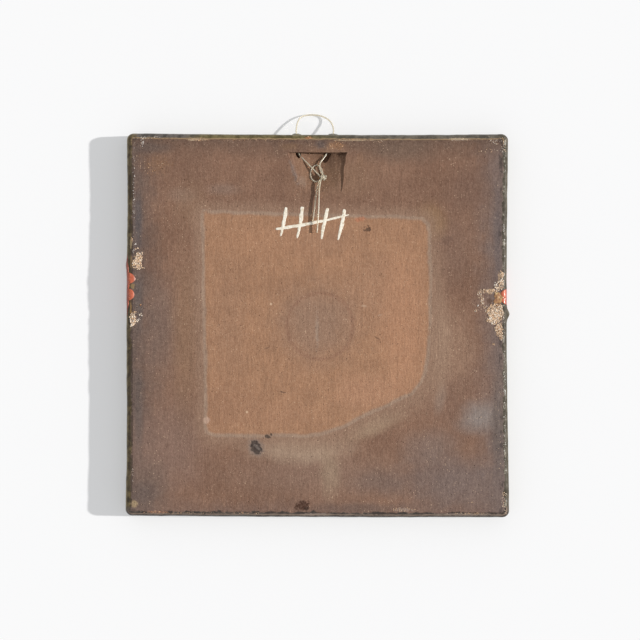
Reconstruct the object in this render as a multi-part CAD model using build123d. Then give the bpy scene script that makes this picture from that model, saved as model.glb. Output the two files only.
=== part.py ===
from build123d import *
from math import radians, tan
import os

# A hand-cut stoneware wall tile, lying on its glazed front, with a nylon line to hang it by.
# Millimetres. Z = 0 is the glazed front, +Z is the bare back, +Y is the edge that hangs uppermost.

# The slab
side = 200.0
thickness = 12.0
corner_radius = 3.5
back_arris = 2.5
front_arris = 1.8

# How far each hand-cut edge stands outside the true square, at five places along it
left_wave = (0.5, -0.2, 0.2, -0.1, 0.2)
right_wave = (0.6, -0.1, -0.4, -0.3, 0.5)
bottom_wave = (-0.1, 0.3, 0.6, 0.8, 0.7)
top_wave = (1.0, 0.5, 0.3, 0.1, 0.6)

# Glaze that ran over the edges and froze there: place along the edge, half length, how far it stands out
bead_y = 5.8
bead_half_length = 3.4
bead_proud = 1.1
swelling_y = 31.6
swelling_half_length = 5.1
swelling_proud = 0.7
run_height = 6.0
run_depth = 3.0

# Drops of glaze that lap over the arris on to the back
left_drops_y = (24.9, 16.2)
right_drops_y = (16.7,)
drop_half_length = 3.3
drop_reach = 3.2
drop_inset = 2.6
drop_height = 2.0
drop_proud = 0.35

# The hanging recess: a ramp that starts deep at its top wall and fades out in the back
recess_wall = 9.2
recess_width = 31.5
recess_depth = 5.5
recess_length = 21.0
recess_end_width = 21.0
recess_end_depth = 0.2
recess_end_shift = 1.6
recess_side_lean = 1.6
recess_corner = 1.2
ramp_hollow = 0.5

# The two stabbed holes, from the recess out through the top edge
left_hole_diameter = 2.9
left_hole_x = -10.5
left_hole_lean = -0.4
left_hole_rise = 1.6
right_hole_diameter = 3.5
right_hole_x = 5.5
right_hole_lean = 2.8
right_hole_rise = 0.9
hole_drop = 0.9
left_gouge_length = 2.8
right_gouge_length = 3.4
hole_runout = 3.0
burr_proud = 0.8
burr_width = 1.1
burr_lip = 0.35

# The nylon line and its knot
line_diameter = 0.8
knot_wraps = 3
knot_wrap_radius = 1.15
knot_pitch = 0.78
ring_half_width = 3.2
ring_half_length = 4.6
ring_lift = 0.3

# Where the knot and its ring lie, and the line's route from the knot through the left hole,
# round the loop and back by the right hole; then the two cut ends
knot_place = (3.3, 77.6, 11.3)
knot_turn = -12.0
ring_place = (-0.4, 79.9)
line_route = [
    (2.3, 77.4, 11.8),
    (-10.4, 90.7, 8.2),
    (-10.9, 99.2, 7.2),
    (-11.3, 104.0, 5.2),
    (-9.8, 110.2, 2.2),
    (-5.6, 112.1, 0.6),
    (1.6, 111.9, 0.6),
    (7.0, 108.9, 2.2),
    (8.9, 103.9, 4.9),
    (8.1, 99.4, 6.6),
    (5.4, 90.4, 7.3),
    (1.7, 83.6, 9.8),
    (3.4, 78.4, 10.9),
]
long_tail_route = [
    (2.0, 76.8, 11.7),
    (1.3, 73.9, 12.9),
    (0.9, 69.0, 13.9),
    (0.8, 62.4, 14.2),
    (0.4, 55.4, 13.8),
    (-0.1, 48.4, 13.0),
]
short_tail_route = [
    (1.3, 76.7, 11.3),
    (0.3, 73.6, 12.1),
    (-0.5, 68.4, 13.0),
    (-1.4, 61.2, 13.4),
    (-2.4, 54.0, 12.9),
]

half = side / 2
back = thickness
recess_top = half - recess_wall
recess_end = recess_top - recess_length
ramp_slope = recess_depth / recess_length
cutter_height = 2.0


def edge_points(wave, place):
    """The points of one edge: wave gives how far it stands out, place turns that into a point."""
    steps = len(wave) - 1
    return [place(side * i / steps - half, half + out) for i, out in enumerate(wave)]


def slab():
    """The square slab, with its four wavy edges, round corners and soft arrises."""
    corners = [
        (-half - left_wave[0], -half - bottom_wave[0]),
        (half + right_wave[0], -half - bottom_wave[-1]),
        (half + right_wave[-1], half + top_wave[-1]),
        (-half - left_wave[-1], half + top_wave[0]),
    ]
    bottom = edge_points(bottom_wave, lambda along, out: (along, -out))
    right = edge_points(right_wave, lambda along, out: (out, along))
    top = edge_points(top_wave, lambda along, out: (along, out))[::-1]
    left = edge_points(left_wave, lambda along, out: (-out, along))[::-1]
    edges = []
    for i, points in enumerate((bottom, right, top, left)):
        edges.append(Spline(corners[i], *points[1:-1], corners[(i + 1) % 4]))
    blank = extrude(make_face(edges), thickness)
    blank = fillet(blank.edges().filter_by(Axis.Z), corner_radius)
    blank = fillet(blank.faces().sort_by(Axis.Z)[-1].edges(), back_arris)
    return fillet(blank.faces().sort_by(Axis.Z)[0].edges(), front_arris)


def edge_run(towards, y, half_length, proud):
    """A frozen run of glaze on the left (-1) or right (1) edge: a long low ellipsoid."""
    form = scale(Sphere(1.0), by=(run_depth, half_length, run_height / 2))
    return Pos(towards * (half + proud - run_depth), y, thickness / 2) * form


def lapped_drop(towards, y):
    """A drop of glaze that ran over the left (-1) or right (1) arris on to the back."""
    form = scale(Sphere(1.0), by=(drop_reach, drop_half_length, drop_height))
    return Pos(towards * (half - drop_inset), y, back + drop_proud - drop_height) * form


def ramp_section(y, shift, width, depth):
    """The recess across the tile at one distance along it: a shallow trapezium, open to the back."""
    lean = recess_side_lean * depth / recess_depth
    half_mouth = width / 2 + lean
    half_floor = width / 2 - lean
    outline = Polyline(
        (shift - half_mouth, cutter_height),
        (shift - half_floor, -depth),
        (shift + half_floor, -depth),
        (shift + half_mouth, cutter_height),
        close=True,
    )
    flat = make_face(outline)
    floor_corners = flat.vertices().sort_by(Axis.Y)[:2]
    flat = fillet(floor_corners, recess_corner * depth / recess_depth)
    return Location((0, y, back), (90, 0, 0)) * flat


def recess():
    """The ramp, lofted through three sections, so that its floor is slightly hollow along its length."""
    middle_y = recess_top - recess_length / 2
    middle_width = (recess_width + recess_end_width) / 2
    middle_depth = recess_depth / 2 + ramp_hollow
    return loft(
        [
            ramp_section(recess_top, 0, recess_width, recess_depth),
            ramp_section(middle_y, recess_end_shift / 2, middle_width, middle_depth),
            ramp_section(recess_end, recess_end_shift, recess_end_width, recess_end_depth),
        ]
    )


def hole_line(x, lean, rise, gouge_length):
    """Where a stabbed hole starts in the recess floor, and where it has left the top edge."""
    at_wall = Vector(x, recess_top, back - recess_depth + rise)
    across = Vector(lean, recess_wall, -hole_drop) / recess_wall
    return at_wall - across * gouge_length, at_wall + across * (recess_wall + hole_runout)


def stabbed_hole(start, end, diameter):
    """A round hole with a round blind start, as a pointed stick leaves it."""
    along = end - start
    bore = Solid.make_cylinder(diameter / 2, along.length, Plane(origin=start, z_dir=along))
    return bore + Pos(start) * Sphere(diameter / 2)


def burr(start, end, diameter):
    """The low rim of clay that the stick pushed out of the top edge round a hole."""
    along = end - start
    top_edge = half + top_wave[len(top_wave) // 2]
    mouth = start + along * ((top_edge - start.Y) / along.Y)
    foot = Plane(origin=mouth - along.normalized() * burr_width, z_dir=along)
    foot_radius = diameter / 2 + burr_width
    lip_radius = diameter / 2 + burr_lip
    return Solid.make_cone(foot_radius, lip_radius, burr_width + burr_proud, foot)


def wall_tile():
    """The whole tile: the slab with its frozen glaze, its recess and its two holes."""
    left_hole = hole_line(left_hole_x, left_hole_lean, left_hole_rise, left_gouge_length)
    right_hole = hole_line(right_hole_x, right_hole_lean, right_hole_rise, right_gouge_length)
    body = slab()
    body += edge_run(1, bead_y, bead_half_length, bead_proud)
    body += edge_run(-1, swelling_y, swelling_half_length, swelling_proud)
    for y in left_drops_y:
        body += lapped_drop(-1, y)
    for y in right_drops_y:
        body += lapped_drop(1, y)
    body += burr(*left_hole, left_hole_diameter)
    body += burr(*right_hole, right_hole_diameter)
    body -= recess()
    body -= stabbed_hole(*left_hole, left_hole_diameter)
    body -= stabbed_hole(*right_hole, right_hole_diameter)
    return body


def tube(points):
    """A round line along straight runs and tangent arcs, each arc as large as its two runs allow."""
    points = [Vector(p) for p in points]
    radii = []
    for before, at, after in zip(points, points[1:], points[2:]):
        turn = (at - before).get_angle(after - at)
        run = min((at - before).length, (after - at).length)
        radii.append(0.45 * run / tan(radians(turn / 2)))
    path = FilletPolyline(*points, radius=radii)
    print("radii", [round(r, 1) for r in radii], "length", round(path.length, 1))
    section = Plane(origin=points[0], z_dir=points[1] - points[0]) * Circle(line_diameter / 2)
    return sweep(section, path)


def knot():
    """The tight wraps of the knot, side by side on a core, with the loose ring that stands out of them."""
    wraps = Cylinder(knot_wrap_radius, knot_pitch * (knot_wraps - 1), rotation=(0, 90, 0))
    for i in range(knot_wraps):
        offset = knot_pitch * (i - (knot_wraps - 1) / 2)
        wraps += Pos(offset, 0, 0) * Rot(0, 90, 0) * Torus(knot_wrap_radius, line_diameter / 2)
    ring_height = back - ramp_slope * (ring_place[1] - recess_end) + ring_lift
    ring_plane = Plane((*ring_place, ring_height), x_dir=(1, 0, 0), z_dir=(0, ramp_slope, 1))
    oval = ring_plane * Ellipse(ring_half_width, ring_half_length).edge()
    ring = sweep(Plane(origin=oval @ 0, z_dir=oval % 0) * Circle(line_diameter / 2), oval)
    return Pos(*knot_place) * Rot(0, 0, knot_turn) * wraps + ring


os.makedirs("parts", exist_ok=True)
hanging_line = tube(line_route)
line_long_tail = tube(long_tail_route)
line_short_tail = tube(short_tail_route)
line_knot = knot() - hanging_line - line_long_tail - line_short_tail

export_step(wall_tile(), "parts/wall_tile.step")
export_step(hanging_line, "parts/hanging_line.step")
export_step(line_long_tail, "parts/line_long_tail.step")
export_step(line_short_tail, "parts/line_short_tail.step")
export_step(line_knot, "parts/line_knot.step")
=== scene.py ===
# %% [markdown]
# # A stoneware wall tile, seen from its bare back
# This is a hand-cut tile of grogged stoneware, 200 mm square and 12 mm thick, with a thin
# nylon line knotted through two holes to hang it by. It lies on its glazed front, and we look
# down on its back, which never was meant to be seen: scorched clay, a paler field where it stood
# on a kiln prop, runs of orange glaze over both edges, and crumbs of kiln sand stuck in them.
# Cords and camera come first, then the slab, then its colours, and the small things last.

# %% Load the imported model and list its parts
import bpy
import math
import numpy as np
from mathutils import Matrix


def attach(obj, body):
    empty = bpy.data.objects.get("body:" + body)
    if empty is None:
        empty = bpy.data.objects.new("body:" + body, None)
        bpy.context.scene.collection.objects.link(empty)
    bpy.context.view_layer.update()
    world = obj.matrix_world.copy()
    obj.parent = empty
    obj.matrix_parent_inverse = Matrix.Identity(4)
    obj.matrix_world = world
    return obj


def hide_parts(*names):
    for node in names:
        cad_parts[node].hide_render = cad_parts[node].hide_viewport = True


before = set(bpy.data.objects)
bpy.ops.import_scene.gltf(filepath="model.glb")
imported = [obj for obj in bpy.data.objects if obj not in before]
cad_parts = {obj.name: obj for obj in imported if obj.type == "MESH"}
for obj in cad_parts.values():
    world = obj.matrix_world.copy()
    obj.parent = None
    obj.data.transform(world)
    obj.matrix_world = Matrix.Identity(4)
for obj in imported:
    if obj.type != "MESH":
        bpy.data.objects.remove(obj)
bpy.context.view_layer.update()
scene = bpy.context.scene
print("CAD nodes:", sorted(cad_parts))

# %% [markdown]
# ## Millimetres and photograph places
# Blender works in metres, but a potter thinks in millimetres, so every shape below is worked out
# in millimetres and made smaller once, when it goes into its mesh. Small marks are placed by the
# pixel where they show in the photograph: one pixel is 0.5245 mm on the tile's back, and the
# tile's middle is at pixel 317.2, 325.

# %% Units and places
MM = 0.001
PIXEL = 0.5245
MIDDLE_PIXEL = (317.2, 325.0)
THICKNESS = 12.0


def place(px, py):
    """The point of the back, in millimetres, that shows at that pixel of the photograph."""
    return (px - MIDDLE_PIXEL[0]) * PIXEL, (MIDDLE_PIXEL[1] - py) * PIXEL


print("the upper left corner of the back is at", place(127, 134))

# %% [markdown]
# ## Camera
# The photograph is taken square on with a long lens, from very slightly below the middle. The
# tile lies down here, so the camera hangs one metre above it and leans by the same small angle.
# A long lens keeps the sides of the slab out of sight, as they are in the photograph.

# %% Camera
CAMERA_DISTANCE = 1000.0
SENSOR = 36.0
TILT = math.radians(1.4)
aim = place(320, 320)
field_width = 640 * PIXEL

camera_data = bpy.data.cameras.new("camera")
camera_data.sensor_width = SENSOR
camera_data.lens = SENSOR * CAMERA_DISTANCE / field_width
camera_data.clip_start = 0.01
camera = bpy.data.objects.new("camera", camera_data)
camera.location = (
    aim[0] * MM,
    (aim[1] - CAMERA_DISTANCE * math.sin(TILT)) * MM,
    (THICKNESS + CAMERA_DISTANCE * math.cos(TILT)) * MM,
)
camera.rotation_euler = (TILT, 0, 0)
scene.collection.objects.link(camera)
scene.camera = camera
scene.view_settings.view_transform = "Standard"
print("lens", round(camera_data.lens, 1), "mm")

# %% [markdown]
# ## Short words for nodes
# A material is a tree of small sums. Written out by hand each node takes five lines, so these
# helpers add a node, fill its sockets with numbers or with the outputs of other nodes, and give
# back its output. Reading the calls from top to bottom is reading the tree from left to right.

# %% First node helpers
def colour(red, green, blue):
    """A colour as a paint program gives it, 0 to 255, turned into the linear values of a shader."""
    values = np.array([red, green, blue]) / 255
    linear = np.where(values <= 0.04045, values / 12.92, ((values + 0.055) / 1.055) ** 2.4)
    return (*linear.tolist(), 1.0)


def fill(target, sockets):
    """Fills a node's inputs, by name or number, with numbers or with outputs of other nodes."""
    for key, value in sockets.items():
        if isinstance(value, bpy.types.NodeSocket):
            target.id_data.links.new(value, target.inputs[key])
        else:
            target.inputs[key].default_value = value


def node(tree, kind, sockets=None, **settings):
    """Adds a node with its settings, and fills its inputs."""
    made = tree.nodes.new(kind)
    for name, value in settings.items():
        setattr(made, name, value)
    fill(made, sockets or {})
    return made


def calc(tree, operation, first, second=0.0):
    """One sum of two values."""
    return node(tree, "ShaderNodeMath", {0: first, 1: second}, operation=operation).outputs[0]


def new_material(name):
    """A new material, with its tree and its Principled shader."""
    material = bpy.data.materials.new(name)
    material.use_nodes = True
    return material, material.node_tree, material.node_tree.nodes["Principled BSDF"]


print("cream paint is", [round(value, 3) for value in colour(250, 243, 228)])

# %% [markdown]
# ## Light and floor
# The photograph has one warm lamp low on the right, which gives each thread its thin shadow, and
# a white room that fills everything else. A sun lamp does the first: its rays are parallel, so
# both sides of the tile are equally bright, and its small angle keeps the shadows a little soft.
# A plain world does the second. Together they light a level surface at about 1, so a colour comes
# out as it is written. The floor is nearly white paper. The photograph's paper is so bright that
# even its shadow is pale: where the camera looks at the floor, a third of it is plain white glow,
# which lightens the shadow without adding any light to the tile.

# %% Sun, world and floor
SUN_ELEVATION = math.radians(28)
SUN_AZIMUTH = math.radians(2.5)
SUN_SHARE = 0.56
WORLD_SHARE = 0.46
FLOOR_GLOW = 0.34
FLOOR_HALF = 2.0
FLOOR_Z = -0.0002

sun_data = bpy.data.lights.new("sun", "SUN")
sun_data.energy = SUN_SHARE * math.pi / math.sin(SUN_ELEVATION)
sun_data.angle = math.radians(1.6)
sun_data.color = (1.0, 0.985, 0.96)
sun = bpy.data.objects.new("sun", sun_data)
sun.rotation_euler = (0, math.pi / 2 - SUN_ELEVATION, SUN_AZIMUTH)
scene.collection.objects.link(sun)

world = bpy.data.worlds.new("white room")
world.use_nodes = True
background = world.node_tree.nodes["Background"]
fill(background, {"Color": (0.96, 0.98, 1.0, 1), "Strength": WORLD_SHARE})
scene.world = world

floor_mesh = bpy.data.meshes.new("floor")
floor_corners = [(FLOOR_HALF * x, FLOOR_HALF * y, FLOOR_Z) for x, y in ((-1, -1), (1, -1), (1, 1), (-1, 1))]
floor_mesh.from_pydata(floor_corners, [], [(0, 1, 2, 3)])
floor = bpy.data.objects.new("floor", floor_mesh)
scene.collection.objects.link(floor)
paper, tree, shader = new_material("white paper")
fill(shader, {"Base Color": (0.93, 0.93, 0.94, 1), "Roughness": 0.9, "Specular IOR Level": 0.1})
rays = node(tree, "ShaderNodeLightPath").outputs
seen = calc(tree, "MAXIMUM", rays["Is Camera Ray"], rays["Is Glossy Ray"])
seen = calc(tree, "MAXIMUM", seen, rays["Is Transmission Ray"])
glow = node(tree, "ShaderNodeEmission").outputs[0]
glowing = calc(tree, "MULTIPLY", seen, FLOOR_GLOW)
blend = node(tree, "ShaderNodeMixShader", {0: glowing, 1: shader.outputs[0], 2: glow})
fill(tree.nodes["Material Output"], {"Surface": blend.outputs[0]})
floor_mesh.materials.append(paper)
print("sun strength", round(sun_data.energy, 2))

# %% [markdown]
# ## The nylon line
# The line is a clear fishing-type thread, 0.8 mm thick. It leaves the knot, goes over the ramp
# into the left hole, round in a small loop beyond the top edge, back by the right hole and into
# the knot again. A thread is soft, so it has no corners: a NURBS curve is drawn towards each of
# the route's points in turn and runs smoothly between them. The point before the left hole keeps
# the long stretch straight until the thread is nearly at the hole.

# %% The loop and the two cut ends
LINE_DIAMETER = 0.8
line_points = [
    (2.3, 77.4, 11.8), (-7.15, 87.3, 9.12), (-10.4, 90.7, 8.2), (-10.9, 99.2, 7.2),
    (-11.3, 104.0, 5.2), (-9.8, 110.2, 2.2), (-5.6, 112.1, 0.6), (1.6, 111.9, 0.6),
    (7.0, 108.9, 2.2), (8.9, 103.9, 4.9), (8.1, 99.4, 6.6), (5.4, 90.4, 7.3),
    (-0.4, 83.4, 10.2), (3.4, 78.4, 10.9),
]
long_tail_points = [
    (2.0, 76.8, 11.7), (1.3, 73.9, 12.9), (0.9, 69.0, 13.9),
    (0.8, 62.4, 14.2), (0.4, 55.4, 14.1), (-0.1, 48.4, 13.8),
]
short_tail_points = [
    (1.3, 76.7, 11.3), (0.3, 73.6, 12.1), (-0.5, 68.4, 13.0), (-1.4, 61.2, 13.4), (-2.4, 54.0, 12.9),
]


def thread(name, points):
    """A round thread: a quadratic NURBS curve on these control points, with a round bevel."""
    curve = bpy.data.curves.new(name, "CURVE")
    curve.dimensions = "3D"
    spline = curve.splines.new("NURBS")
    spline.points.add(len(points) - 1)
    for spot, (x, y, z) in zip(spline.points, points):
        spot.co = (x * MM, y * MM, z * MM, 1)
    spline.order_u = 3
    spline.use_endpoint_u = True
    spline.resolution_u = 10
    curve.bevel_depth = LINE_DIAMETER / 2 * MM
    curve.bevel_resolution = 4
    curve.use_fill_caps = True
    piece = bpy.data.objects.new(name, curve)
    scene.collection.objects.link(piece)
    return piece


line = thread("nylon_line", line_points)
long_tail = thread("nylon_long_tail", long_tail_points)
short_tail = thread("nylon_short_tail", short_tail_points)
print("threads:", [piece.name for piece in (line, long_tail, short_tail)])

# %% [markdown]
# ## Shapes from arrays
# Most pieces here are closed rings of points, one after the other along a path: a tube, a grain,
# a brush stroke and even the tool that cuts the recess are all made that way. One helper joins
# the rings, closes both ends with a point in the middle, and turns the faces outwards if the
# volume that they enclose comes out negative.

# %% Rings into a closed piece
def ring_faces(rows, columns):
    """Quads between rings of points numbered ring by ring, each ring joined to its own start."""
    row = np.arange(rows - 1)[:, None] * columns
    column = np.arange(columns)
    after = (column + 1) % columns
    quads = np.stack([row + column, row + after, row + columns + after, row + columns + column], -1)
    return quads.reshape(-1, 4)


def loft(rings):
    """Points and faces of a closed form through rings, an array of rows x columns x 3."""
    rows, columns = rings.shape[:2]
    ends = np.array([rings[0].mean(0), rings[-1].mean(0)])
    points = np.vstack([rings.reshape(-1, 3), ends])
    column = np.arange(columns)
    after = (column + 1) % columns
    last = (rows - 1) * columns
    start = np.stack([after, column, np.full(columns, rows * columns)], -1)
    finish = np.stack([last + column, last + after, np.full(columns, rows * columns + 1)], -1)
    quads = ring_faces(rows, columns)
    triangles = np.vstack([quads[:, :3], quads[:, [0, 2, 3]], start, finish])
    a, b, c = (points[triangles[:, i]] for i in range(3))
    if (np.cross(a, b) * c).sum() < 0:
        quads, start, finish = quads[:, ::-1], start[:, ::-1], finish[:, ::-1]
    return points, quads.tolist() + start.tolist() + finish.tolist()


def new_piece(name, points, faces):
    """A smooth-shaded mesh object from points in millimetres."""
    mesh = bpy.data.meshes.new(name)
    mesh.from_pydata(points * MM, [], faces)
    mesh.shade_smooth()
    piece = bpy.data.objects.new(name, mesh)
    scene.collection.objects.link(piece)
    return piece


def joined(forms):
    """Several (points, faces) forms as one."""
    points = []
    faces = []
    count = 0
    for form_points, form_faces in forms:
        faces += [[index + count for index in face] for face in form_faces]
        points.append(form_points)
        count += len(form_points)
    return np.vstack(points), faces


def tube(path, across, radius, sides, closed=False):
    """Rings of a round tube. Each ring lies square to the path: its first axis is the path's
    direction crossed with across, its second is the direction crossed with the first."""
    if closed:
        ahead = np.roll(path, -1, 0) - np.roll(path, 1, 0)
    else:
        ahead = np.gradient(path, axis=0)
    ahead = ahead / np.linalg.norm(ahead, axis=1, keepdims=True)
    first = np.cross(ahead, across)
    first = first / np.linalg.norm(first, axis=1, keepdims=True)
    second = np.cross(ahead, first)
    turn = np.linspace(0, 2 * np.pi, sides, endpoint=False)[None, :, None]
    return path[:, None] + radius * (np.cos(turn) * first[:, None] + np.sin(turn) * second[:, None])


print("helpers ready")

# %% [markdown]
# ## The knot
# The knot is three tight wraps of the line round itself, with the loose oval ring of the hitch
# beside it. A helix gives the wraps: going round while it moves sideways by one thickness a turn.
# The strands that pass through the wraps fill their middle.

# %% Wraps, core and ring
KNOT_PLACE = (3.3, 77.6, 11.3)
KNOT_TURN = math.radians(-12)
KNOT_TURNS = 3.1
WRAP_RADIUS = 1.12
WRAP_PITCH = 0.78
RING_PLACE = (-0.4, 79.9, 9.655)
RING_HALF = (3.2, 4.6)
RECESS_DEPTH = 5.5
RECESS_LENGTH = 21.0
RAMP_SLOPE = RECESS_DEPTH / RECESS_LENGTH


def knot_to_tile(points):
    """Turns points from the knot's own axes about Z, and moves them to the knot's place."""
    cosine, sine = math.cos(KNOT_TURN), math.sin(KNOT_TURN)
    turned = np.array([[cosine, sine, 0], [-sine, cosine, 0], [0, 0, 1]])
    return points @ turned + np.array(KNOT_PLACE)


def wraps():
    """A helix along X: X grows evenly, Y and Z go round in a circle."""
    t = np.linspace(0, 1, 90)
    turn = 2 * np.pi * KNOT_TURNS * t + 0.6
    path = np.stack([
        WRAP_PITCH * KNOT_TURNS * (t - 0.5), WRAP_RADIUS * np.cos(turn), WRAP_RADIUS * np.sin(turn)
    ], -1)
    return loft(knot_to_tile(tube(path, np.array([1.0, 0, 0]), LINE_DIAMETER / 2, 12)))


def core(y, z):
    """One straight strand through the wraps."""
    t = np.linspace(-1, 1, 9)
    path = np.stack([1.55 * t, y + 0.1 * t, z + 0 * t], -1)
    return loft(knot_to_tile(tube(path, np.array([0, 1.0, 0]), LINE_DIAMETER / 2, 12)))


def ring():
    """An oval in the plane of the ramp, a little fuller on its upper left, closed on itself."""
    turn = np.linspace(0, 2 * np.pi, 80, endpoint=False)
    along = np.array([0, 1, -RAMP_SLOPE]) / math.hypot(1, RAMP_SLOPE)
    wide = RING_HALF[0] * (1 - 0.08 * np.sin(turn)) * np.cos(turn)
    path = np.array(RING_PLACE) + wide[:, None] * np.array([1.0, 0, 0])
    path = path + (RING_HALF[1] * np.sin(turn))[:, None] * along
    rings = tube(path, np.array([0, RAMP_SLOPE, 1.0]), LINE_DIAMETER / 2, 12, closed=True)
    quads = ring_faces(len(rings) + 1, 12) % (len(rings) * 12)
    return rings.reshape(-1, 3), quads.tolist()


knot = new_piece("nylon_knot", *joined([wraps(), core(0.35, 0.3), core(-0.3, -0.32), ring()]))
print("knot faces:", len(knot.data.polygons))

# %% [markdown]
# ## Nylon
# Clear nylon is see-through, but a thread this thin shows mostly its own cream edge and a bright
# line of light, so the material lets six tenths of the light through and keeps a warm colour.

# %% Nylon, and what the line replaces
def dress(pieces, material):
    """Gives each piece its material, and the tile's one body to ride on."""
    for piece in pieces:
        piece.data.materials.append(material)
        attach(piece, "root")


nylon, _, shader = new_material("clear cream nylon")
fill(shader, {
    "Base Color": colour(251, 241, 218), "Roughness": 0.25, "IOR": 1.53, "Transmission Weight": 0.62,
})
dress((line, long_tail, short_tail, knot), nylon)
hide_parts("hanging_line")
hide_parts("line_long_tail")
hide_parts("line_short_tail")
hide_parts("line_knot")

# %% [markdown]
# ## The hand-cut outline
# No edge of the tile is quite straight: each swells and dips by up to a millimetre. The outline
# is a square with round corners, and each side is pushed out by a smooth curve through five
# measured values. It is worked out point by point all round, with the direction that points
# outwards, so that the rounded arrises can be carried along it afterwards.

# %% Outline
HALF = 100.0
CORNER = 3.5
BACK_ARRIS = 2.5
FRONT_ARRIS = 1.8
GRID = 236
CORNER_STEPS = 4
WAVES = {
    "bottom": (-0.1, 0.3, 0.6, 0.8, 0.7),
    "right": (0.6, -0.1, -0.4, -0.3, 0.5),
    "top": (1.0, 0.5, 0.3, 0.1, 0.6),
    "left": (0.5, -0.2, 0.2, -0.1, 0.2),
}


def wave(side, along):
    """How far that side stands outside the square: the one quartic through its five values."""
    places = np.linspace(-1, 1, 5)
    return np.polyval(np.polyfit(places, WAVES[side], 4), np.clip(along / HALF, -1, 1))


def outline():
    """Points and outward directions all round, anticlockwise from the middle of the lower left
    corner: half a corner arc, a straight run pushed out by its wave, and half an arc, four times."""
    low, right, high, left = WAVES["bottom"], WAVES["right"], WAVES["top"], WAVES["left"]
    inner = HALF - CORNER
    centres = np.array([
        (-inner - left[0], -inner - low[0]), (inner + right[0], -inner - low[-1]),
        (inner + right[-1], inner + high[-1]), (-inner - left[-1], inner + high[0]),
    ])
    straight = GRID - 1 - 2 * CORNER_STEPS
    bend = np.radians(np.linspace(-45, 0, CORNER_STEPS + 1))
    points = []
    normals = []
    for number, side in enumerate(("bottom", "right", "top", "left")):
        start, end = centres[number], centres[(number + 1) % 4]
        facing = math.radians(90 * number - 90)
        turn = np.concatenate([bend[:-1], np.zeros(straight + 1), -bend[-2:0:-1]]) + facing
        share = np.concatenate([
            np.zeros(CORNER_STEPS), np.linspace(0, 1, straight + 1), np.ones(CORNER_STEPS - 1)
        ])
        centre = start + share[:, None] * (end - start)
        along = centre[:, number % 2]
        chord = centre @ np.array([math.cos(facing), math.sin(facing)]) - inner
        out = (wave(side, along) - chord) * np.sin(np.pi * share) ** 0.5
        normal = np.stack([np.cos(turn), np.sin(turn)], -1)
        points.append(centre + (CORNER + out[:, None]) * normal)
        normals.append(normal)
    return np.vstack(points), np.vstack(normals)


def inset(x, y):
    """How far inside the outline a point is: the least distance to the four wavy sides, and in a
    corner the distance to its round."""
    from_x = np.minimum(x + HALF + wave("left", y), HALF + wave("right", y) - x)
    from_y = np.minimum(y + HALF + wave("bottom", x), HALF + wave("top", x) - y)
    rounded = CORNER - np.hypot(CORNER - from_x, CORNER - from_y)
    in_corner = (from_x < CORNER) & (from_y < CORNER)
    return np.where(in_corner, rounded, np.minimum(from_x, from_y))


rim_points, rim_normals = outline()
print("outline of", len(rim_points), "points, from", rim_points.min(0), "to", rim_points.max(0))

# %% [markdown]
# ## The fired surface
# Clay that was rolled, dried and fired is never flat. Three sizes of unevenness make it up: slow
# hollows as wide as a thumb, marks dragged along by the board, and grit. All of them are smooth
# random hills: a random number at each corner of a lattice, blended between the corners. Glaze
# lies over the rim in soft lumps, and ran into one bead and one swelling on the edges.

# %% Relief as a function of place
BEAD = {"y": 5.8, "half_length": 2.6, "proud": 1.7}
SWELLING = {"y": 31.6, "half_length": 2.9, "proud": 0.6}
LEFT_HOLE = {"x": -10.5, "lean": -0.4, "rise": 1.6, "radius": 1.45, "gouge": 2.8}
RIGHT_HOLE = {"x": 5.5, "lean": 2.8, "rise": 0.9, "radius": 1.75, "gouge": 3.4}
RECESS_WALL = 9.2
RECESS_TOP = HALF - RECESS_WALL
HOLE_DROP = 0.9


def noise(x, y, cell, seed):
    """Smooth hills from -1 to 1: random numbers on a lattice of that cell, blended by s-curves."""
    lattice = np.random.default_rng(seed).uniform(-1, 1, (256, 256))
    u, v = np.asarray(x, float) / cell, np.asarray(y, float) / cell
    i, j = np.floor(u).astype(int), np.floor(v).astype(int)
    s, t = u - i, v - j
    s, t = s * s * (3 - 2 * s), t * t * (3 - 2 * t)
    i, j = i % 256, j % 256
    after_i, after_j = (i + 1) % 256, (j + 1) % 256
    low = lattice[i, j] * (1 - s) + lattice[after_i, j] * s
    high = lattice[i, after_j] * (1 - s) + lattice[after_i, after_j] * s
    return low * (1 - t) + high * t


def rise(value, start, end):
    """0 before start, 1 after end, and an s-curve between them."""
    t = np.clip((value - start) / (end - start), 0, 1)
    return t * t * (3 - 2 * t)


def hill(value, centre, half_length):
    """A bell of height 1 round centre."""
    return np.exp(-((value - centre) / half_length) ** 2)


def hole_axis(hole, y):
    """Where a stabbed hole's axis is at that distance up the tile."""
    along = (y - RECESS_TOP) / RECESS_WALL
    return hole["x"] + hole["lean"] * along, THICKNESS - RECESS_DEPTH + hole["rise"] - HOLE_DROP * along


def burr(x, z, hole):
    """The low lip of clay that the stick pushed out round a hole in the top edge: a bell that is
    highest on a circle just outside the hole."""
    mouth_x, mouth_z = hole_axis(hole, HALF)
    away = np.hypot(x - mouth_x, z - mouth_z) - hole["radius"]
    return 0.8 * hill(away, 0.3, 0.75)


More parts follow.
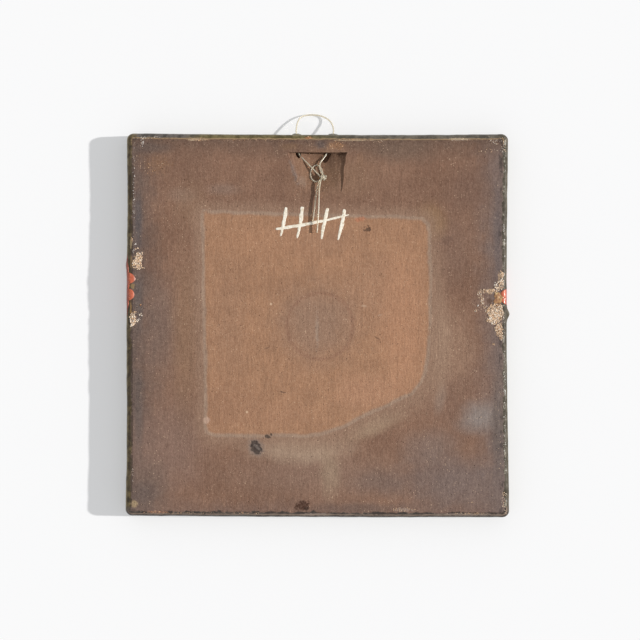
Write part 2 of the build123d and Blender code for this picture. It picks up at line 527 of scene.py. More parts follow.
def relief(x, y, z, inside):
    """How far the real surface stands out of the true slab, along its normal. Clay: slow hills,
    board marks drawn out along Y, and grit. Glaze: two sizes of lumps, and a bell on the right for
    the bead and on the left for the swelling. The one turns into the other near the border."""
    clay = 0.15 * noise(x, y, 44, 1) + 0.07 * noise(x, y, 16, 2)
    clay = clay + 0.035 * noise(x * 1.9, y * 0.22, 2.3, 3) + 0.018 * noise(x, y, 2.1, 4)
    glaze = 0.13 * noise(x + y, z, 6.5, 5) + 0.07 * noise(x + y, 1.5 * z, 2.6, 6) + 0.05
    middle = hill(z, 7.4, 3.2)
    glaze = glaze + BEAD["proud"] * hill(y, BEAD["y"], BEAD["half_length"]) * middle * (x > 95)
    swelling = SWELLING["proud"] * hill(y, SWELLING["y"], SWELLING["half_length"])
    glaze = glaze + swelling * middle * (x < -95)
    lips = (burr(x, z, LEFT_HOLE) + burr(x, z, RIGHT_HOLE)) * (y > 98)
    return clay + (glaze + lips - clay) * rise(-inside, -4.5, -1.2)


def arris_drop(inside):
    """How far the rounded arris has dropped below the back at that distance inside the outline."""
    short = np.clip(BACK_ARRIS - inside, 0, BACK_ARRIS)
    return BACK_ARRIS - np.sqrt(BACK_ARRIS ** 2 - short ** 2)


def skin(x, y):
    """The height of the finished back at x, y: small pieces are laid on this."""
    inside = inset(x, y)
    return THICKNESS - arris_drop(inside) + relief(x, y, THICKNESS - arris_drop(inside), inside)


print("height of the back at its middle:", round(float(skin(0.0, 0.0)), 3))

# %% [markdown]
# ## The slab
# The tile is one fired solid, so it is one closed mesh. Its back is a fine grid stretched inside
# the outline, its rim is a profile of arris, side and arris carried along the outline, and its
# front closes ring by ring to a point in the middle. Each surface is then pushed out by the
# relief. The front may only be hollow, since the tile lies on it.

# %% Back, rim and front in one mesh
def back_grid(border):
    """Fills the border with a grid: each point is a blend of the two opposite sides one way, plus
    the same the other way, less the blend of the four corners, which was counted twice."""
    bottom, right, top, left = (border[i * (GRID - 1):(i + 1) * (GRID - 1)] for i in range(4))
    bottom = np.vstack([bottom, right[:1]])
    right = np.vstack([right, top[:1]])
    top = np.vstack([top, left[:1]])[::-1]
    left = np.vstack([left, border[:1]])[::-1]
    u = np.linspace(0, 1, GRID)[None, :, None]
    v = np.linspace(0, 1, GRID)[:, None, None]
    up = (1 - v) * bottom[None] + v * top[None]
    over = (1 - u) * left[:, None] + u * right[:, None]
    corners = (1 - v) * ((1 - u) * bottom[0] + u * bottom[-1]) + v * ((1 - u) * top[0] + u * top[-1])
    return up + over - corners


def rim_profile():
    """Inset, height and slope of the rim from the back down to the front: a quarter circle, a
    straight side and a smaller quarter circle. The slope is 90 on the back and -90 on the front."""
    upper = np.linspace(90, 0, 8)[1:]
    lower = np.linspace(0, -90, 6)[1:]
    side = np.linspace(THICKNESS - BACK_ARRIS, FRONT_ARRIS, 10)[1:]
    inward = np.concatenate([
        BACK_ARRIS * (1 - np.cos(np.radians(upper))), 0 * side, FRONT_ARRIS * (1 - np.cos(np.radians(lower)))
    ])
    height = np.concatenate([
        THICKNESS - BACK_ARRIS * (1 - np.sin(np.radians(upper))), side,
        FRONT_ARRIS * (1 + np.sin(np.radians(lower)))
    ])
    return inward, height, np.radians(np.concatenate([upper, 0 * side, lower]))


def slab():
    """All points and faces of the closed slab, with its relief."""
    back = back_grid(rim_points - BACK_ARRIS * rim_normals).reshape(-1, 2)
    back_3d = np.column_stack([back, np.full(len(back), THICKNESS)])
    inward, height, slope = rim_profile()
    flat = rim_points - inward[:, None, None] * rim_normals
    rim_3d = np.dstack([flat, np.broadcast_to(height[:, None], flat.shape[:2])])
    out = np.dstack([
        np.cos(slope)[:, None, None] * rim_normals, np.broadcast_to(np.sin(slope)[:, None], flat.shape[:2])
    ])
    shrink = np.linspace(1, 0, 14)[1:-1, None, None]
    front = np.dstack([shrink * flat[-1], np.zeros((12, len(rim_points)))])
    back_3d[:, 2] += relief(*back_3d.T, inset(*back.T))
    rim_inside = np.broadcast_to(inward[:, None], height[:, None].shape) - (THICKNESS - height[:, None])
    moved = relief(rim_3d[..., 0], rim_3d[..., 1], rim_3d[..., 2], rim_inside)
    rim_3d = rim_3d + moved[..., None] * out
    rim_3d[..., 2] = np.maximum(rim_3d[..., 2], 0)
    rim_3d[-1, :, 2] = 0
    hollow = 0.12 * (1 + noise(front[..., 0], front[..., 1], 30, 7)) * rise(-shrink[..., 0], -1, -0.8)
    front[..., 2] = hollow
    points = np.vstack([back_3d, rim_3d.reshape(-1, 3), front.reshape(-1, 3), [[0, 0, 0.1]]])
    numbers = np.arange(GRID * GRID).reshape(GRID, GRID)
    border = np.concatenate([numbers[0, :-1], numbers[:-1, -1], numbers[-1, :0:-1], numbers[:0:-1, 0]])
    around = len(border)
    rows = GRID * GRID + np.arange((len(rim_3d) + len(front)) * around).reshape(-1, around)
    rows = np.vstack([border, rows])
    after = np.roll(rows, -1, 1)
    grid = np.stack([numbers[:-1, :-1], numbers[:-1, 1:], numbers[1:, 1:], numbers[1:, :-1]], -1)
    rim = np.stack([rows[:-1], rows[1:], after[1:], after[:-1]], -1)
    fan = np.stack([rows[-1], np.full(around, len(points) - 1), after[-1]], -1)
    return points, grid.reshape(-1, 4).tolist() + rim.reshape(-1, 4).tolist() + fan.tolist()


tile = new_piece("stoneware_tile", *slab())
print("slab:", len(tile.data.vertices), "points,", len(tile.data.polygons), "faces")

# %% [markdown]
# ## The recess and the two holes
# The maker scooped a ramp out of the soft clay, deep at its upper wall and fading out downwards,
# and stabbed two holes from it through the top edge with a pointed stick. Cutting a solid tool
# out of the slab gives the same crisp upper wall. The tool is a shallow trough, carried down
# the tile while it gets narrower and shallower, with the scoop's scrape marks on its underside.

# %% Cutting tools
RECESS_WIDTH = 31.5
RECESS_NARROWING = 9.5
RECESS_DRIFT = 2.1
RECESS_DEPTHS = (5.0, 3.2, 0.2)


def through_three(t, start, middle, end):
    """The parabola through three values, at t = 0, a half and 1."""
    return start * (1 - t) * (1 - 2 * t) + middle * 4 * t * (1 - t) + end * t * (2 * t - 1)


def recess_tool():
    """Rings of the scoop. Across: a leaning wall, a rounded corner as a parabola between wall and
    floor, a hollow floor, and the same again the other way round. The floor sinks from its two
    sides to its middle as (1 - a squared) to the power of 1.5, where a runs from -1 to 1, and the
    two sides are deepest just under the top wall. Every wall wanders a little."""
    t = np.linspace(0, 1.04, 64)
    down = RECESS_LENGTH * t
    depth = through_three(t, *RECESS_DEPTHS)
    right_depth = 0.28 * depth + 1.25 * np.exp(-down / 1.3)
    left_depth = 0.10 * depth + 0.9 * np.exp(-down / 1.4)
    width = RECESS_WIDTH - RECESS_NARROWING * t
    s = np.linspace(0, 1, 7)

    def side(side_depth):
        """Mouth, bend and foot of one wall, as distances from the middle, and their heights."""
        lean = 0.5 + 0.25 * side_depth
        corner = np.minimum(0.9, 0.5 * np.abs(side_depth) + 0.03)
        foot = width / 2 - lean
        wall_run = 2 * lean / (side_depth + 2)
        bend = (1 - s) ** 2 * (foot + wall_run * corner)[:, None]
        bend = bend + 2 * s * (1 - s) * foot[:, None] + s ** 2 * (foot - corner)[:, None]
        mouth = (width / 2 + lean)[:, None]
        heights = -side_depth[:, None] + (1 - s) ** 2 * corner[:, None]
        return np.hstack([mouth, bend]), np.hstack([0 * mouth + 2, heights])

    right_x, right_z = side(right_depth)
    left_x, left_z = side(left_depth)
    across = np.linspace(1, -1, 48)[None, 1:-1]
    floor_x = (right_x[:, -1:] + left_x[:, -1:]) / 2 * across + (right_x[:, -1:] - left_x[:, -1:]) / 2
    floor_side = right_depth[:, None] * (1 + across) / 2 + left_depth[:, None] * (1 - across) / 2
    floor_z = -floor_side - (depth[:, None] - floor_side) * (1 - across ** 2) ** 1.5
    x = np.hstack([right_x, floor_x, -left_x[:, ::-1]]) + RECESS_DRIFT * t[:, None]
    z = np.hstack([right_z, floor_z, left_z[:, ::-1]])
    y = RECESS_TOP - down[:, None] + 0 * x
    x = x + 0.35 * noise(y, 0 * y, 2.6, 16) * np.abs(x) / 15
    wander = 0.3 * noise(x, 0 * x, 1.9, 17) + 0.3 * noise(x, 0 * x, 6.0, 18)
    y = y + wander * np.exp(-down / 3)[:, None]
    scraped = 0.11 * noise(x * 1.6, y * 0.18, 1.7, 8) + 0.12 * noise(x, y, 6, 9)
    z = np.where(z < 1.5, z + scraped, z)
    return loft(np.dstack([x, y, THICKNESS + z]))


def hole_tool(hole, seed):
    """Rings of the pointed stick: a round end, then a rod that is a little uneven. It was worked
    to and fro, so the hole is wider just inside the recess, and opens slightly at the edge."""
    radius = hole["radius"]
    along = np.concatenate([-radius * np.cos(np.radians(np.linspace(8, 90, 7))), np.linspace(0.6, 17, 24)])
    wide = np.where(along < 0, np.sqrt(np.maximum(radius ** 2 - along ** 2, 0)), radius)
    y = RECESS_TOP - hole["gouge"] + along
    middle_x, middle_z = hole_axis(hole, y)
    turn = np.linspace(0, 2 * np.pi, 28, endpoint=False)
    uneven = 1 + 0.07 * noise(turn[None, :] * 1.2, along[:, None], 1.7, seed)
    uneven = uneven + 0.1 * hill(y, HALF, 1.2)[:, None] + 0.4 * hill(y, RECESS_TOP - 0.8, 1.6)[:, None]
    x = middle_x[:, None] + (wide[:, None] * uneven) * np.cos(turn)
    z = middle_z[:, None] + (wide[:, None] * uneven) * np.sin(turn)
    return loft(np.dstack([x, np.broadcast_to(y[:, None], x.shape), z]))


def cut(piece, tool):
    """Cuts the tool out of the piece for good."""
    modifier = piece.modifiers.new("cut", "BOOLEAN")
    modifier.object = tool
    modifier.operation = "DIFFERENCE"
    modifier.solver = "MANIFOLD"
    bpy.context.view_layer.objects.active = piece
    bpy.ops.object.modifier_apply(modifier=modifier.name)
    bpy.data.objects.remove(tool)


cut(tile, new_piece("scoop", *recess_tool()))
cut(tile, new_piece("left_stick", *hole_tool(LEFT_HOLE, 21)))
cut(tile, new_piece("right_stick", *hole_tool(RIGHT_HOLE, 22)))
tile.data.shade_smooth()
tile.data.set_sharp_from_angle(angle=math.radians(42))
tile.data.calc_loop_triangles()
print("tile:", len(tile.data.loop_triangles), "triangles after cutting")

# %% [markdown]
# ## Where colours begin and end
# Two things on this tile have crisp borders that no square pattern could follow: the glaze on its
# wavy rim, and the warm field that a kiln prop kept from the smoke. For both, each point of the
# mesh stores its distance to that border in millimetres, and the material turns the distance
# into lines, halos and bands.

# %% Distances stored on the mesh
FIELD_CORNERS = [
    (204, 211), (230, 212), (300, 214), (360, 216.5), (412, 217.5), (422, 218.5), (427.5, 223),
    (429, 232), (431, 280), (430.5, 325), (428.5, 352), (426, 370), (421, 382), (411, 394),
    (390, 404.5), (366, 414.5), (345, 425.5), (331, 431.5), (320, 435), (300, 435.5), (250, 435.5),
    (213, 434.5), (206.5, 431), (205, 424), (205.5, 360), (203.5, 300), (203, 240), (202.5, 216),
]


def distance_to_field(x, y):
    """Distance to a closed many-cornered line, negative inside. For each straight piece of it: the
    distance to its nearest point, and whether a ray to the left crosses it."""
    corners = np.array([place(*corner) for corner in FIELD_CORNERS])
    nearest = np.full(x.shape, 1e9)
    inside = np.zeros(x.shape, bool)
    for (ax, ay), (bx, by) in zip(corners, np.roll(corners, -1, 0)):
        length = (bx - ax) ** 2 + (by - ay) ** 2
        t = np.clip(((x - ax) * (bx - ax) + (y - ay) * (by - ay)) / length, 0, 1)
        nearest = np.minimum(nearest, np.hypot(x - ax - t * (bx - ax), y - ay - t * (by - ay)))
        if ay != by:
            crosses = ((ay > y) != (by > y)) & (x < ax + (y - ay) * (bx - ax) / (by - ay))
            inside ^= crosses
    return np.where(inside, -nearest, nearest)


def store(piece, name, values):
    """Writes one number for each point of the mesh."""
    piece.data.attributes.new(name, "FLOAT", "POINT").data.foreach_set("value", values.astype(np.float32))


flat_points = np.empty(len(tile.data.vertices) * 3)
tile.data.vertices.foreach_get("co", flat_points)
x, y, z = flat_points.reshape(-1, 3).T / MM
inside = inset(x, y)
depth = np.maximum(THICKNESS - z, 0)
edge = np.where(z < 1.2, -12.0, np.where(inside < 8.5, inside - depth, inside))
ragged_x = x + 0.5 * noise(x, y, 7, 11) + 0.22 * noise(x, y, 2.2, 12)
ragged_y = y + 0.5 * noise(x, y, 7, 13) + 0.22 * noise(x, y, 2.2, 14)
store(tile, "edge_mm", edge)
store(tile, "field_mm", distance_to_field(ragged_x, ragged_y))
print("distance to the edge runs from", round(float(edge.min()), 1), "to", round(float(edge.max()), 1))

# %% [markdown]
# ## More short words for nodes
# Clay and glaze need more kinds of node than paper does: ramps from one value to another, layers
# of colour, noise, and node groups. A group is a small tree with named inputs and outputs, made
# once and placed in every material that needs it.

# %% More node helpers
def ramp(tree, value, start, end, low=0.0, high=1.0):
    """low before start, high after end, and an s-curve between; start may be the larger one."""
    sockets = {"Value": value, "From Min": start, "From Max": end, "To Min": low, "To Max": high}
    return node(tree, "ShaderNodeMapRange", sockets, interpolation_type="SMOOTHSTEP").outputs[0]


def layer(tree, mask, under, over):
    """Lays one colour over another where the mask is 1."""
    return node(tree, "ShaderNodeMix", {0: mask, 6: under, 7: over}, data_type="RGBA").outputs[2]


def two_tone(tree, value, start, end, dark, light):
    """Goes from a dark to a light tint while the value goes from start to end."""
    return layer(tree, ramp(tree, value, start, end), colour(*dark), colour(*light))


def tinted(tree, under, mask, strength, tint):
    """Lays one flat tint over a colour, as strongly as the mask times strength says."""
    return layer(tree, calc(tree, "MULTIPLY", mask, strength), under, colour(*tint))


def bump(tree, height, strength, distance):
    """The normal that a height gives; distance says how many metres high a height of 1 is."""
    sockets = {"Strength": strength, "Distance": distance, "Height": height}
    return node(tree, "ShaderNodeBump", sockets).outputs["Normal"]


def grain_noise(tree, vector, scale, detail=3.0, rough=0.6):
    """Blender's own smooth noise, from 0 to 1."""
    sockets = {"Vector": vector, "Scale": scale, "Detail": detail, "Roughness": rough}
    return node(tree, "ShaderNodeTexNoise", sockets).outputs["Fac"]


def stretch(tree, vector, amounts, shift=(0.0, 0.0, 0.0)):
    """Multiplies a place by amounts along X, Y and Z, then shifts it."""
    sockets = {0: vector, 1: amounts, 2: shift}
    return node(tree, "ShaderNodeVectorMath", sockets, operation="MULTIPLY_ADD").outputs[0]


def millimetres(tree):
    """The piece's own Object coordinates, in millimetres."""
    place_node = node(tree, "ShaderNodeTexCoord")
    return stretch(tree, place_node.outputs["Object"], (1000, 1000, 1000))


def new_group(name, inputs, outputs):
    """An empty node group: inputs maps a name to its socket kind and value, outputs lists names."""
    group = bpy.data.node_groups.new(name, "ShaderNodeTree")
    for label, (kind, value) in inputs.items():
        socket = group.interface.new_socket(label, in_out="INPUT", socket_type=kind)
        if value is not None:
            socket.default_value = value
    for label in outputs:
        group.interface.new_socket(label, in_out="OUTPUT", socket_type="NodeSocketFloat")
    entry = group.nodes.new("NodeGroupInput")
    leave = group.nodes.new("NodeGroupOutput")
    return group, entry.outputs, leave.inputs


def use(tree, group, **sockets):
    """Places a group in a tree. Underscores in a socket's name stand for spaces."""
    made = node(tree, "ShaderNodeGroup", node_tree=group)
    fill(made, {name.replace("_", " "): value for name, value in sockets.items()})
    return made.outputs


print("node helpers ready")

# %% [markdown]
# ## Grit: a group for everything made of fired clay
# Grog is clay that was fired and crushed before it went into the new clay. It shows as pale
# specks, and where a crumb fell out it leaves a dark pit. Both are Voronoi cells of which only the
# middle shows, and only in some of the cells. The same group serves the slab and the sand that
# stuck to it, at other sizes.

# %% Grit group
FLOAT, VECTOR = "NodeSocketFloat", "NodeSocketVector"


def speck(tree, vector, scale, size, share):
    """Round dots in a share of the Voronoi cells of that scale."""
    cells = node(tree, "ShaderNodeTexVoronoi", {"Vector": vector, "Scale": scale})
    chosen = node(tree, "ShaderNodeSeparateColor", {0: cells.outputs["Color"]})
    dot = ramp(tree, cells.outputs["Distance"], size, size * 0.45)
    kept = calc(tree, "LESS_THAN", chosen.outputs[0], share)
    return calc(tree, "MULTIPLY", dot, kept)


grit, given, result = new_group(
    "fired grit", {"Place": (VECTOR, None), "Coarseness": (FLOAT, 1.0)},
    ["Mottle", "Specks", "Pits", "Height"],
)
finer = calc(grit, "DIVIDE", 1.0, given["Coarseness"])
sized = node(
    grit, "ShaderNodeVectorMath", {0: given["Place"], "Scale": finer}, operation="SCALE"
).outputs[0]
mottle = grain_noise(grit, sized, 0.95, 5.0, 0.7)
fine = grain_noise(grit, sized, 1.9, 2.0, 0.6)
elsewhere = stretch(grit, sized, (1, 1, 1), (13.1, 7.7, 3.3))
pale = calc(grit, "MAXIMUM", speck(grit, sized, 0.42, 0.17, 0.34), speck(grit, elsewhere, 0.9, 0.26, 0.3))
holes = calc(grit, "MAXIMUM", speck(grit, elsewhere, 0.33, 0.13, 0.45), speck(grit, sized, 0.95, 0.24, 0.2))
high = calc(grit, "ADD", calc(grit, "MULTIPLY", mottle, 0.8), calc(grit, "MULTIPLY", fine, 0.45))
high = calc(grit, "ADD", high, calc(grit, "MULTIPLY", pale, 0.35))
high = calc(grit, "SUBTRACT", high, calc(grit, "MULTIPLY", holes, 0.9))
for label, value in {"Mottle": mottle, "Specks": pale, "Pits": holes, "Height": high}.items():
    grit.links.new(value, result[label])
print("group:", grit.name)

# %% [markdown]
# ## Spots and broken bands
# Each stain, crack and scar on the back is an ellipse with a soft or ragged border, so one group
# draws them all: it measures how far a place is from the ellipse's middle, in radii, adds some
# noise, and cuts off at 1. The second group draws a line that breaks up, such as the tan line
# where glaze runs thin: a band between two distances, eaten away by noise.

# %% Spot and band groups
spot_group, given, result = new_group(
    "ragged spot",
    {
        "Place": (VECTOR, None), "Centre": (VECTOR, (0, 0, 12)), "Radii": (VECTOR, (1, 1, 9)),
        "Turn": (FLOAT, 0.0), "Ragged": (FLOAT, 0.3), "Softness": (FLOAT, 0.4),
        "Noise scale": (FLOAT, 0.5),
    },
    ["Mask", "Distance"],
)


def vector_math(operation, first, second=(0, 0, 0)):
    """One sum of two vectors in the spot group."""
    return node(spot_group, "ShaderNodeVectorMath", {0: first, 1: second}, operation=operation).outputs


from_centre = vector_math("SUBTRACT", given["Place"], given["Centre"])[0]
turned = node(
    spot_group, "ShaderNodeVectorRotate", {"Vector": from_centre, "Angle": given["Turn"]},
    rotation_type="Z_AXIS",
).outputs[0]
away = vector_math("LENGTH", vector_math("DIVIDE", turned, given["Radii"])[0])["Value"]
shaken = grain_noise(spot_group, given["Place"], given["Noise scale"], 3.0, 0.6)
shaken = calc(spot_group, "MULTIPLY", calc(spot_group, "SUBTRACT", shaken, 0.5), given["Ragged"])
away = calc(spot_group, "ADD", away, calc(spot_group, "MULTIPLY", shaken, 2.0))
spot_group.links.new(away, result["Distance"])
inner_edge = calc(spot_group, "SUBTRACT", 1.0, given["Softness"])
spot_group.links.new(ramp(spot_group, away, 1.0, inner_edge), result["Mask"])

band_group, given, result = new_group(
    "broken band",
    {
        "Place": (VECTOR, None), "Distance": (FLOAT, 0.0), "Near": (FLOAT, 0.0), "Far": (FLOAT, 1.0),
        "Soft": (FLOAT, 0.25), "Kept": (FLOAT, 0.5), "Noise scale": (FLOAT, 0.2),
    },
    ["Mask"],
)


def passing(value, at, soft):
    """0 before at less soft and 1 after at plus soft. With a negative soft it falls from 1 to 0."""
    start = calc(band_group, "SUBTRACT", at, soft)
    return ramp(band_group, value, start, calc(band_group, "ADD", at, soft))


wander = calc(band_group, "SUBTRACT", grain_noise(band_group, given["Place"], 0.35, 2.0), 0.5)
measured = calc(band_group, "ADD", given["Distance"], calc(band_group, "MULTIPLY", wander, 1.1))
begins = passing(measured, given["Near"], given["Soft"])
ends = passing(measured, given["Far"], calc(band_group, "MULTIPLY", given["Soft"], -1.0))
gaps = grain_noise(band_group, given["Place"], given["Noise scale"], 4.0, 0.7)
gaps = passing(gaps, calc(band_group, "SUBTRACT", 1.0, given["Kept"]), 0.05)
line_mask = calc(band_group, "MULTIPLY", calc(band_group, "MULTIPLY", begins, ends), gaps)
band_group.links.new(line_mask, result["Mask"])
print("groups:", spot_group.name, "and", band_group.name)

# %% [markdown]
# ## Bare stoneware and its glazed rim
# One material covers the whole slab, because the clay and the glaze are fused: the glaze begins at
# a ragged line a few millimetres in from the edge. The clay is painted in layers, from the largest
# to the smallest. First the smoke-brown ground with its grey, cooler edges; then the warm field
# with its halo and pale outline; then soft clouds; then single marks; and grit over all of it.

# %% Material: start, and the ground of the clay
stoneware, tree, shader = new_material("smoked stoneware with glazed rim")
spot_at = millimetres(tree)
X, Y, Z = node(tree, "ShaderNodeSeparateXYZ", {0: spot_at}).outputs
edge_mm = node(tree, "ShaderNodeAttribute", attribute_name="edge_mm").outputs["Fac"]
field_mm = node(tree, "ShaderNodeAttribute", attribute_name="field_mm").outputs["Fac"]
broad = grain_noise(tree, spot_at, 0.028, 4.0, 0.6)
patchy = grain_noise(tree, stretch(tree, spot_at, (1, 1, 1), (90, 40, 0)), 0.09, 4.0, 0.65)
streaks = grain_noise(tree, stretch(tree, spot_at, (1.0, 0.11, 1.0)), 0.55, 4.0, 0.7)
gritty = use(tree, grit, Place=spot_at, Coarseness=1.0)
wide_shift = calc(tree, "MULTIPLY", calc(tree, "SUBTRACT", patchy, 0.5), 14.0)
narrow_shift = calc(tree, "MULTIPLY", calc(tree, "SUBTRACT", streaks, 0.5), 8.0)
loose = calc(tree, "ADD", wide_shift, narrow_shift)
ground = two_tone(tree, broad, 0.35, 0.65, (131, 97, 79), (146, 110, 90))
shaken_x = calc(tree, "ADD", X, loose)
shaken_y = calc(tree, "ADD", Y, loose)
# The way across, where the tint begins and where it is full, its strength and the tint
EDGE_TINTS = [
    (shaken_x, -78, -99, 0.9, (98, 86, 83)), (shaken_x, 78, 98, 0.9, (124, 109, 105)),
    (shaken_y, -88, -101, 0.5, (118, 100, 96)), (shaken_y, 84, 99, 0.8, (104, 82, 71)),
]
for across, start, end, strength, tint in EDGE_TINTS:
    ground = layer(tree, ramp(tree, across, start, end, 0, strength), ground, colour(*tint))
print("ground laid with", len(tree.nodes), "nodes")

# %% Material: broad clouds
# Middle and radii in pixels of the photograph, tint, strength and, where it is turned, degrees
BROAD_CLOUDS = [
    (165, 450, 62, 75, (143, 115, 103), 0.75), (320, 474, 130, 36, (147, 117, 101), 0.8),
    (458, 395, 46, 90, (137, 106, 91), 0.5), (455, 482, 85, 42, (123, 109, 106), 0.8),
    (160, 330, 26, 90, (119, 102, 96), 0.55), (180, 165, 60, 34, (133, 101, 84), 0.5),
    (400, 150, 60, 20, (114, 96, 84), 0.5), (430, 446, 40, 26, (141, 122, 114), 0.6),
    (470, 425, 26, 14, (143, 125, 117), 0.55), (183, 195, 20, 12, (154, 128, 114), 0.55),
    (222, 189, 26, 9, (150, 126, 113), 0.5), (455, 250, 30, 55, (131, 103, 90), 0.5),
    (152, 486, 26, 40, (114, 96, 88), 0.65), (302, 449, 74, 20, (180, 154, 132), 0.95),
    (375, 425, 44, 13, (176, 150, 124), 0.8, -25), (457, 350, 28, 54, (164, 130, 108), 0.75),
    (382, 482, 44, 20, (116, 98, 92), 0.6), (430, 222, 24, 26, (156, 122, 86), 0.7),
    (330, 472, 16, 34, (172, 148, 124), 0.6), (360, 508, 70, 8, (104, 88, 82), 0.5),
    (440, 398, 8, 22, (160, 140, 128), 0.5, 10), (470, 190, 36, 46, (124, 96, 84), 0.5),
    (186, 330, 20, 120, (152, 118, 93), 0.6), (500, 300, 12, 90, (104, 92, 92), 0.5),
    (335, 176, 64, 34, (152, 118, 94), 0.6), (190, 205, 26, 36, (148, 116, 93), 0.5),
    (480, 416, 26, 22, (150, 142, 138), 0.75), (438, 345, 17, 76, (184, 152, 128), 0.75),
    (500, 440, 14, 60, (98, 90, 90), 0.5), (330, 150, 30, 10, (150, 116, 94), 0.5),
    (138, 222, 7, 40, (92, 88, 91), 0.8), (139, 305, 7, 46, (96, 90, 90), 0.65),
    (139, 410, 7, 60, (100, 92, 90), 0.55), (150, 147, 34, 9, (96, 84, 80), 0.65),
    (145, 495, 22, 18, (98, 86, 84), 0.6), (498, 230, 7, 60, (104, 96, 98), 0.6),
    (497, 420, 8, 70, (112, 102, 98), 0.55),
]


def cloud(under, px, py, wide, tall, tint, strength, turn=0.0, ragged=0.25, soft=0.85, scale=0.08):
    """Lays a spot of colour at a pixel of the photograph, sized in pixels."""
    px, py = place(px, py)
    made = use(
        tree, spot_group, Place=spot_at, Centre=(px, py, 12), Radii=(wide * PIXEL, tall * PIXEL, 9),
        Turn=math.radians(turn), Ragged=ragged, Softness=soft, Noise_scale=scale,
    )
    return tinted(tree, under, made["Mask"], strength, tint)


for spot in BROAD_CLOUDS:
    ground = cloud(ground, *spot)
print("clouds:", len(BROAD_CLOUDS))

# %% Material: the warm field, its halo and its outline
low_right = ramp(tree, calc(tree, "SUBTRACT", X, Y), -10, 90)
halo_width = calc(tree, "ADD", 9.0, calc(tree, "MULTIPLY", low_right, 7.0))
halo_reach = calc(tree, "ADD", field_mm, calc(tree, "MULTIPLY", loose, 0.25))
halo_reach = calc(tree, "DIVIDE", halo_reach, halo_width)
halo = ramp(tree, halo_reach, 1.0, 0.0, 0, 0.85)
warm = layer(tree, halo, ground, colour(160, 128, 107))
inside_field = ramp(tree, field_mm, 1.0, -2.2)
field_ground = two_tone(tree, patchy, 0.35, 0.65, (172, 128, 98), (183, 137, 105))
# As the broad clouds
FIELD_CLOUDS = [
    (318, 322, 62, 62, (160, 127, 106), 0.9), (225, 405, 50, 36, (165, 122, 95), 0.6),
    (375, 290, 40, 60, (177, 134, 106), 0.6), (270, 415, 70, 22, (180, 134, 104), 0.5),
    (300, 240, 80, 24, (172, 131, 105), 0.5), (230, 320, 26, 90, (167, 127, 101), 0.5),
    (404, 325, 34, 120, (194, 143, 110), 0.85), (366, 392, 50, 28, (192, 143, 112), 0.75),
    (268, 242, 66, 30, (186, 138, 105), 0.7),
]
for spot in FIELD_CLOUDS:
    field_ground = cloud(field_ground, *spot)
warm = layer(tree, calc(tree, "MULTIPLY", inside_field, 0.95), warm, field_ground)
pale_line = use(
    tree, band_group, Place=spot_at, Distance=field_mm, Near=-0.9, Far=0.8, Soft=0.6, Kept=0.66,
    Noise_scale=0.09,
)["Mask"]
warm = tinted(tree, warm, pale_line, 0.46, (178, 156, 138))
print("field laid with", len(tree.nodes), "nodes")

# %% Material: the ring in the middle, stains, cracks and scars
RING_RADIUS = 17.4
ring_spot = use(
    tree, spot_group, Place=spot_at, Centre=(*place(320, 326), 12),
    Radii=(RING_RADIUS, RING_RADIUS, 90), Turn=0.0, Ragged=0.05, Softness=0.5, Noise_scale=0.3,
)
ring_band = use(
    tree, band_group, Place=spot_at, Distance=calc(tree, "MULTIPLY", ring_spot["Distance"], RING_RADIUS),
    Near=16.4, Far=18.2, Soft=0.7, Kept=0.75, Noise_scale=0.2,
)["Mask"]
clay = tinted(tree, warm, ring_band, 0.4, (146, 104, 84))
